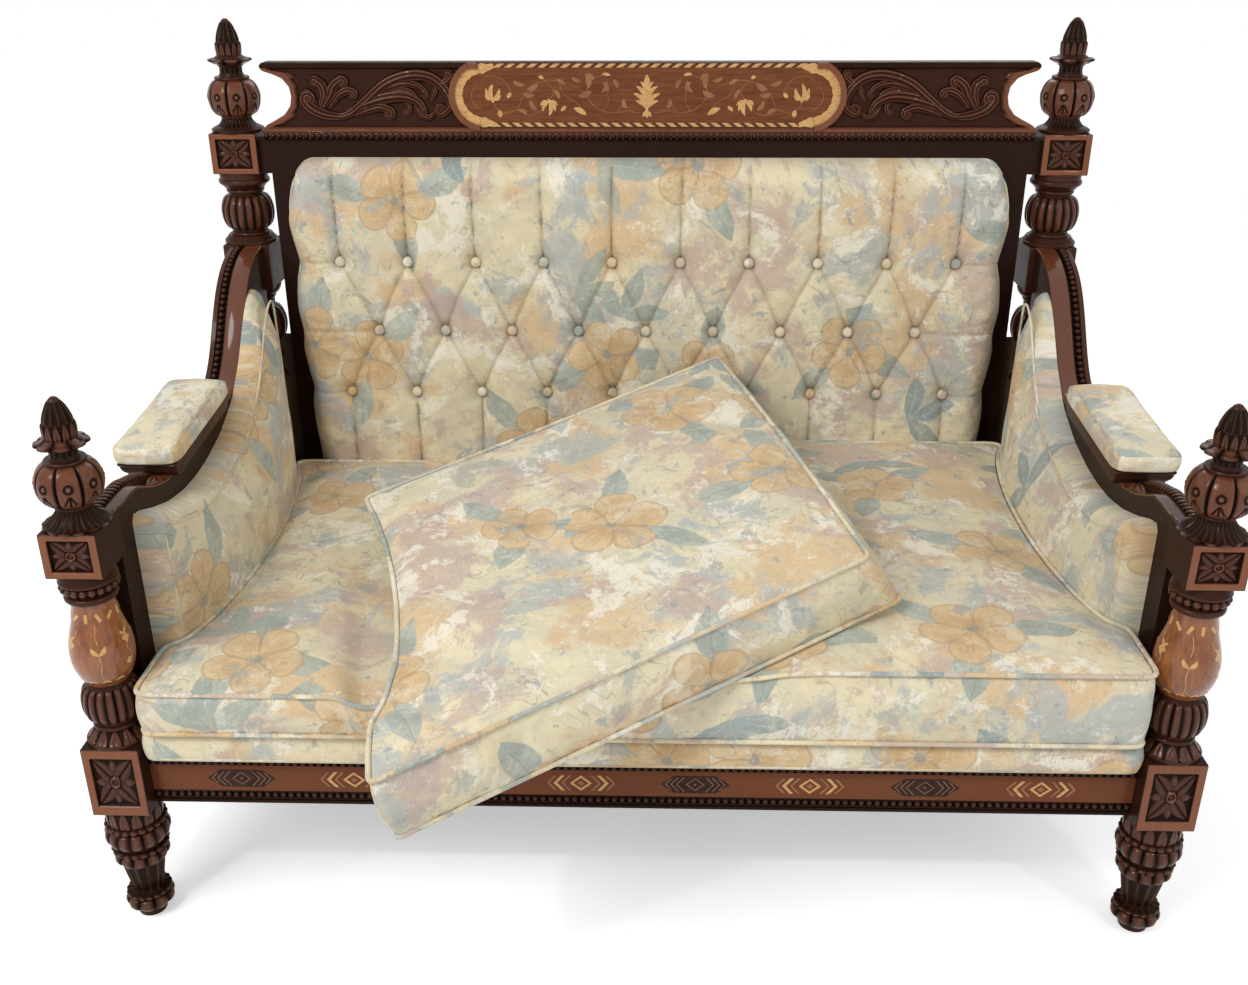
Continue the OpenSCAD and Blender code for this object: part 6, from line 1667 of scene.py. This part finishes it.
def pillow(work, outline, place, top, swell=4.0, round_edge=7.0, band=14, rings=46, middle=None,
           print_at=(0.0, 0.0), band_shift=0.0):
    """Band, top and underside of a cushion. Place turns a flat point and a height, from 0 at the
    bottom edge to 1 at the top edge, into a point; top crowns the points past the top edge."""
    middle = outline.mean(axis=0) if middle is None else middle
    out = along_outline(outline)
    share = np.linspace(0.0, 1.0, band)
    to_end = 1.0 - np.minimum(1.0, np.stack([share, 1.0 - share]) / 0.10)
    offsets = swell * np.sin(math.pi * share) - round_edge * (to_end ** 2).sum(axis=0) * 0.6
    rows = np.stack([place(outline + out * offset, h) for h, offset in zip(share, offsets)])
    below_top = np.linalg.norm(rows - rows[-1:], axis=-1)
    far = curve_length(np.concatenate([outline, outline[:1]])) * MM
    flats = np.stack(np.broadcast_arrays(far[:-1] - band_shift, -below_top * MM), axis=-1) + print_at
    work.grid(closed(rows), 0.5, np.concatenate([flats, flats[:, :1] + (far[-1], 0)], axis=1))
    near_edge = np.linspace(0.0, 1.0, 12)[:-1] ** 1.5 * 0.09
    sizes = 1.0 - np.concatenate([near_edge, 0.09 + 0.90 * np.linspace(0.0, 1.0, rings)])
    edge = outline - out * round_edge * 0.6
    for level in (1.0, 0.0):
        if level == 0.0:
            sizes = sizes[[0, 2, 5, 8, *range(len(near_edge), len(sizes), 9)]]
        flat = middle + sizes[:, None, None] * (edge - middle)
        points = np.stack([place(ring, level) for ring in flat])
        if level == 1.0:
            points = top(points, flat, crown_share(sizes)[:, None])
        print_flat = flat * MM + print_at
        work.grid(closed(points), 0.5, closed(print_flat))
        last_ring = np.arange(len(outline)) + work.count - len(outline) - 1
        work.fan(last_ring, points[-1].mean(axis=0), 0.5, print_flat[-1].mean(axis=0), level == 0.0)


def crown_share(size):
    """How much of the crown stands at a ring of this size: none on the edge, all in the middle."""
    return np.interp(size, [0.0, 0.2, 0.42, 0.64, 0.82, 0.93, 0.975, 0.992, 1.0],
                     [1.0, 1.0, 0.94, 0.82, 0.6, 0.35, 0.16, 0.06, 0.0])


def rounded_outline(corners, radius, step):
    """A closed outline through corners, its points an even step apart and its corners eased."""
    line = evenly(corners, step, ring=True)
    return relaxed(line, int((radius / step) ** 2 * 1.2) + 1, ring=True)


def undulation(p, size, seed):
    """Soft unevenness of stuffing over p, in millimetres: three crossed waves of about the size."""
    x, y = p[..., 0] / size, p[..., 1] / size
    return (np.sin(x * 5.1 + 1.7 * np.sin(y * 2.3 + seed)) * np.sin(y * 4.3 + 1.1 * np.sin(x * 2.9 - seed))
            + 0.6 * np.sin(x * 9.3 + y * 6.1 + seed * 2.0) + 0.4 * np.sin(y * 13.0 - x * 7.0 + seed * 3.0))


def lifted_by(points, rise):
    """The points, each raised."""
    return points + np.array([0.0, 0.0, 1.0]) * rise[..., None]


PAD_HALF = np.array([48.0, 131.0])
CORNER_SIGNS = np.array([(-1.0, -1.0), (1.0, -1.0), (1.0, 1.0), (-1.0, 1.0)])
PAD_SLOPE = math.radians(4.295)


def pad_place(p, h):
    """Tips the pad back by its base's slope about its own middle, then moves it on to the base."""
    y, z = p[:, 1], 0.6 + 24.0 * h
    c, s = math.cos(PAD_SLOPE), math.sin(PAD_SLOPE)
    return np.stack([p[:, 0] + 721.0, 398.5 + y * c - z * s, 623.5 + y * s + z * c], axis=-1)


def pad_top(points, p, crown):
    return lifted_by(points, 11.0 * crown ** 0.8 + 0.4 * undulation(p, 60.0, 1.0) * crown)


def pad_sewn(p):
    """Points of the pad's lower part, which stay where they are."""
    return p[:, 2] < 593.0 + (p[:, 1] - PAD_FRONT) * 0.0751 + 25.0


pad_outline = rounded_outline(CORNER_SIGNS * PAD_HALF, 20.0, 4.0)
pad_outline *= PAD_HALF / np.abs(pad_outline).max(axis=0)
arm_pad = Workpiece()
pillow(arm_pad, pad_outline, pad_place, pad_top, 2.0, 9.0, 10, 20, print_at=(2.31, 1.07))
for cover in arm_pad.make_pair("arm_pad_{}_cover", floral, "floral_fabric", "arm_pad_{}", crease=80.0,
                               weld=1e-5):
    stuffed(cover, pad_sewn, slack=0.01, push=3.0, most=0.006)

# the deck under the seat cushion, with its welt along the front
DECK_HALF = 676.0
deck_corners = [(-DECK_HALF, 8.0), (DECK_HALF, 8.0), (DECK_HALF, 850.0), (-DECK_HALF, 850.0)]
deck = Workpiece()
pillow(deck, rounded_outline(deck_corners, 12.0, 9.0), lambda p, h: at_height(p, 283.3 + 47.0 * h),
       lambda points, p, crown: lifted_by(points, 2.6 * crown), 5.0, 8.0, rings=8, print_at=(0.4, 3.0),
       band_shift=DECK_HALF * MM)
deck.make("deck_cover", floral, "floral_fabric", "deck", crease=80.0, weld=1e-5)
deck_welt = Workpiece()
welt_line = [(-670.0, 20.0, 291.0), (-662.0, 8.0, 291.0), (662.0, 8.0, 291.0), (670.0, 20.0, 291.0)]
piping(deck_welt, relaxed(evenly(welt_line, 8.0), 3), 3.4, ring=False, print_at=(0.2, 0.9))
deck_welt.make("deck_welt", floral, "floral_fabric", crease=80.0)

# the loose cushion's place: it leans on the seat's front edge, turned across the seat
LOOSE_TURN = np.array(Euler([math.radians(a) for a in (3.6, -8.9, 30.5)], "XYZ").to_matrix())
LOOSE_AT = np.array([-291.0, -236.0, 361.3])
LOOSE_CORNERS = np.array([(0.0, 0.0), (713.0, 0.0), (889.2, 639.8), (211.8, 599.7)])
LOOSE_THICK = 88.0
LOOSE_WAIST = [(0, 0), (0.12, 0.028), (0.24, 0.047), (0.36, 0.059), (0.475, 0.064), (0.58, 0.063),
               (0.677, 0.056), (0.777, 0.033), (0.84, 0.005), (0.92, 0)]


def loose_place(p, w):
    """A point of the loose cushion's own plane, at height w over its underside, on the sofa."""
    return LOOSE_AT + at_height(p, w) @ LOOSE_TURN.T


def out_of_loose(x, y):
    """Distance of x, y outside the loose cushion's four edges, less than 0 inside."""
    flat = loose_place(LOOSE_CORNERS, 0.0)[:, :2]
    far = np.full_like(x, -1e9)
    for a, b in zip(flat, np.roll(flat, -1, axis=0)):
        d = unit(b - a)
        far = np.maximum(far, (x - a[0]) * d[1] - (y - a[1]) * d[0])
    return far


def under_loose(x, y, gap):
    """The greatest height that the seat cushion may have at x, y: a gap under the loose cushion,
    and sloping up beside it."""
    up = LOOSE_TURN[:, 2]
    underside = LOOSE_AT[2] - (up[0] * (x - LOOSE_AT[0]) + up[1] * (y - LOOSE_AT[1])) / up[2]
    return underside - gap + 0.8 * np.clip(out_of_loose(x, y) - 30.0, 0.0, None)


SEAT_LOW, SEAT_THICK, SEAT_SAG = 333.6, 112.0, 46.0
SEAT_FRONT, SEAT_REAR = -1.0, 792.1
SEAT_FRONT_HALF = 671.2


def seat_edge_top(p):
    """Height of the seat cushion's top edge: lower on the left, and pressed by the loose cushion."""
    x, y = p[:, 0], p[:, 1]
    free = SEAT_LOW + SEAT_THICK - SEAT_SAG * (1.0 - ease(x, -80.0, 240.0))
    return np.minimum(free, under_loose(x, y, 2.5))


def seat_half(y):
    """Half width of the seat cushion: wide in front of the linings, then along their faces."""
    u = np.clip((y - LINING_FRONT) / LINING_LONG, 0.0, 1.0)
    return np.where(y < 127.0, SEAT_FRONT_HALF, LINING_IN - 1.2 - lining_dome(u, 0.0))


side_y = np.concatenate([[SEAT_FRONT, 126.0], np.linspace(128.0, LINING_REAR, 60), [SEAT_REAR]])
side_line = np.stack([seat_half(np.minimum(side_y, LINING_REAR)), side_y], axis=-1)
seat_outline = rounded_outline(np.concatenate([side_line, side_line[::-1] * (-1.0, 1.0)]), 15.0, 8.0)
front_left = int(np.argmin(np.hypot(seat_outline[:, 0] + 675.0, seat_outline[:, 1])))
seat_outline = np.roll(seat_outline, -front_left, axis=0)


def seat_place(p, h):
    """The seat cushion's side: from its flat bottom edge to its top edge."""
    return at_height(p, SEAT_LOW + h * (seat_edge_top(p) - SEAT_LOW))


def seat_top(points, p, crown):
    """Crown and folds of the top, never above the loose cushion's underside."""
    x, y, z = np.moveaxis(points, -1, 0)
    gone = out_of_loose(x, y)
    fold = 2.2 * np.exp(-np.clip(gone - 30.0, 0, None) / 60.0) * np.sin(gone * 0.16 + x * 0.02)
    rise = (12.0 + 1.5 * undulation(points, 210.0, 0.7) + fold * (gone > 20.0) * (x < 0)) * crown
    return np.stack([x, y, np.minimum(z + rise, under_loose(x, y, 2.5))], axis=-1)


def nearest(p, line):
    """Distance of each point from the nearest point of a line, seen from above."""
    return np.min(np.hypot(p[:, None, 0] - line[:, 0], p[:, None, 1] - line[:, 1]), axis=1)


def seat_sewn(p):
    """Points on the cushion's two seams and its underside, which stay where they are."""
    on_seam = (nearest(p, seat_outline[::2]) < 7.5) & (np.abs(p[:, 2] - seat_edge_top(p)) < 4.0)
    return (p[:, 2] < SEAT_LOW + 3.0) | on_seam


def seat_room(p):
    """Under the loose cushion, and clear of the linings and of the tufted back."""
    x, y, z = p.T
    beside_lining = (y > LINING_FRONT - 3.0) & (y < LINING_REAR + 2.0)
    side = np.where(beside_lining, seat_half(np.clip(y, 128.0, LINING_REAR)) + 1.0, SEAT_FRONT_HALF + 5.0)
    z = np.maximum(np.minimum(z, under_loose(x, y, 2.0)), SEAT_LOW)
    return np.stack([np.clip(x, -side, side), np.clip(y, -16.0, SEAT_REAR + 1.4), z], axis=-1)


seat = Workpiece()
pillow(seat, seat_outline, seat_place, seat_top, 5.0, 6.0, 18, 50, middle=np.array([0.0, 400.0]),
       print_at=(5.0, 0.30), band_shift=0.675)
seat_made = seat.make("seat_cushion_cover", floral, "floral_fabric", "seat_cushion", body="seat_cushion",
                      crease=80.0, weld=1e-5)
stuffed(seat_made, seat_sewn, slack=0.010, push=3.0, most=0.018, room=seat_room)
seat_cords = Workpiece()
for level, lift in ((1.0, 0.5), (0.0, 4.0)):
    line = seat_place(seat_outline + along_outline(seat_outline), level) + (0.0, 0.0, lift)
    line[:, 2] = relaxed(line, 3, ring=True)[:, 2]
    piping(seat_cords, line, 3.4, print_at=(4.1, level))
seat_cords.make("seat_cushion_piping", floral, "floral_fabric", body="seat_cushion", crease=80.0)


def loose_shift(p, h):
    """The band slants: its lower edge lies to the right of and in front of its upper edge."""
    right = 10.0 + 34.0 * ease(p[:, 0], 150.0, 700.0)
    return p + (1.0 - h) * np.stack([right, -12.0 * ease(-p[:, 1], -260.0, 0.0)], axis=-1)


def bowed(a, b, bow):
    """An edge from a towards b, bowed out by a half sine."""
    t = np.linspace(0.0, 1.0, 9, endpoint=False)[:, None]
    return a + t * (b - a) - bow * np.sin(np.pi * t) * left_of(unit(b - a))


front_left, front_right, rear_right, rear_left = LOOSE_CORNERS
waist_side = left_of(unit(front_left - rear_left))
waist = [rear_left + along * (front_left - rear_left) + inward * 636.0 * waist_side
         for along, inward in LOOSE_WAIST]
loose_outline = rounded_outline(np.concatenate([bowed(front_left, front_right, 0.0),
                                                bowed(front_right, rear_right, 5.0),
                                                bowed(rear_right, rear_left, -5.0), waist]), 9.0, 7.0)


def loose_top(points, p, crown):
    """Crown and stuffing of the loose cushion's top, with slack folds fanning from its waist."""
    from_waist = np.hypot(p[..., 0] - 60.0, p[..., 1] - 330.0)
    fan = np.arctan2(p[..., 1] - 330.0, p[..., 0] - 20.0)
    folds = 2.0 * np.exp(-from_waist / 130.0) * np.sin(fan * 9.0)
    lift = (9.0 + 1.6 * undulation(p, 190.0, 2.1) + folds) * crown
    return points + lift[..., None] * LOOSE_TURN[:, 2]


def loose_sewn(p):
    """Points on the loose cushion's seams and its underside."""
    own = (p - LOOSE_AT) @ LOOSE_TURN
    seams = [nearest(own, loose_shift(loose_outline, h)[::2]) + np.abs(own[:, 2] - LOOSE_THICK * h) * 1.5
             for h in (1.0, 0.0)]
    return (own[:, 2] < 2.0) | (np.min(seams, axis=0) < 8.0)


def loose_room(p):
    """Never under the plane of its own underside."""
    own = (p - LOOSE_AT) @ LOOSE_TURN
    return loose_place(own[:, :2], np.maximum(own[:, 2], 0.0))


def loose_side(p, h):
    """The loose cushion's band at the share h of its height."""
    return loose_place(loose_shift(p, h), LOOSE_THICK * h)


loose = Workpiece()
pillow(loose, loose_outline, loose_side, loose_top, 6.0, 6.0, 18, print_at=(8.4, 1.2))
loose_made = loose.make("loose_cushion_cover", floral, "floral_fabric", "loose_cushion", body="loose_cushion",
                        crease=80.0, weld=1e-5)
stuffed(loose_made, loose_sewn, slack=0.012, push=3.5, most=0.022, room=loose_room)
loose_cords = Workpiece()
for level, lift in ((1.0, 0.4), (0.0, 3.4)):
    edge = loose_shift(loose_outline + along_outline(loose_outline) * 0.6, level)
    piping(loose_cords, loose_place(edge, LOOSE_THICK * level + lift), 3.3, print_at=(9.2, level))
loose_cords.make("loose_cushion_piping", floral, "floral_fabric", body="loose_cushion", crease=80.0)
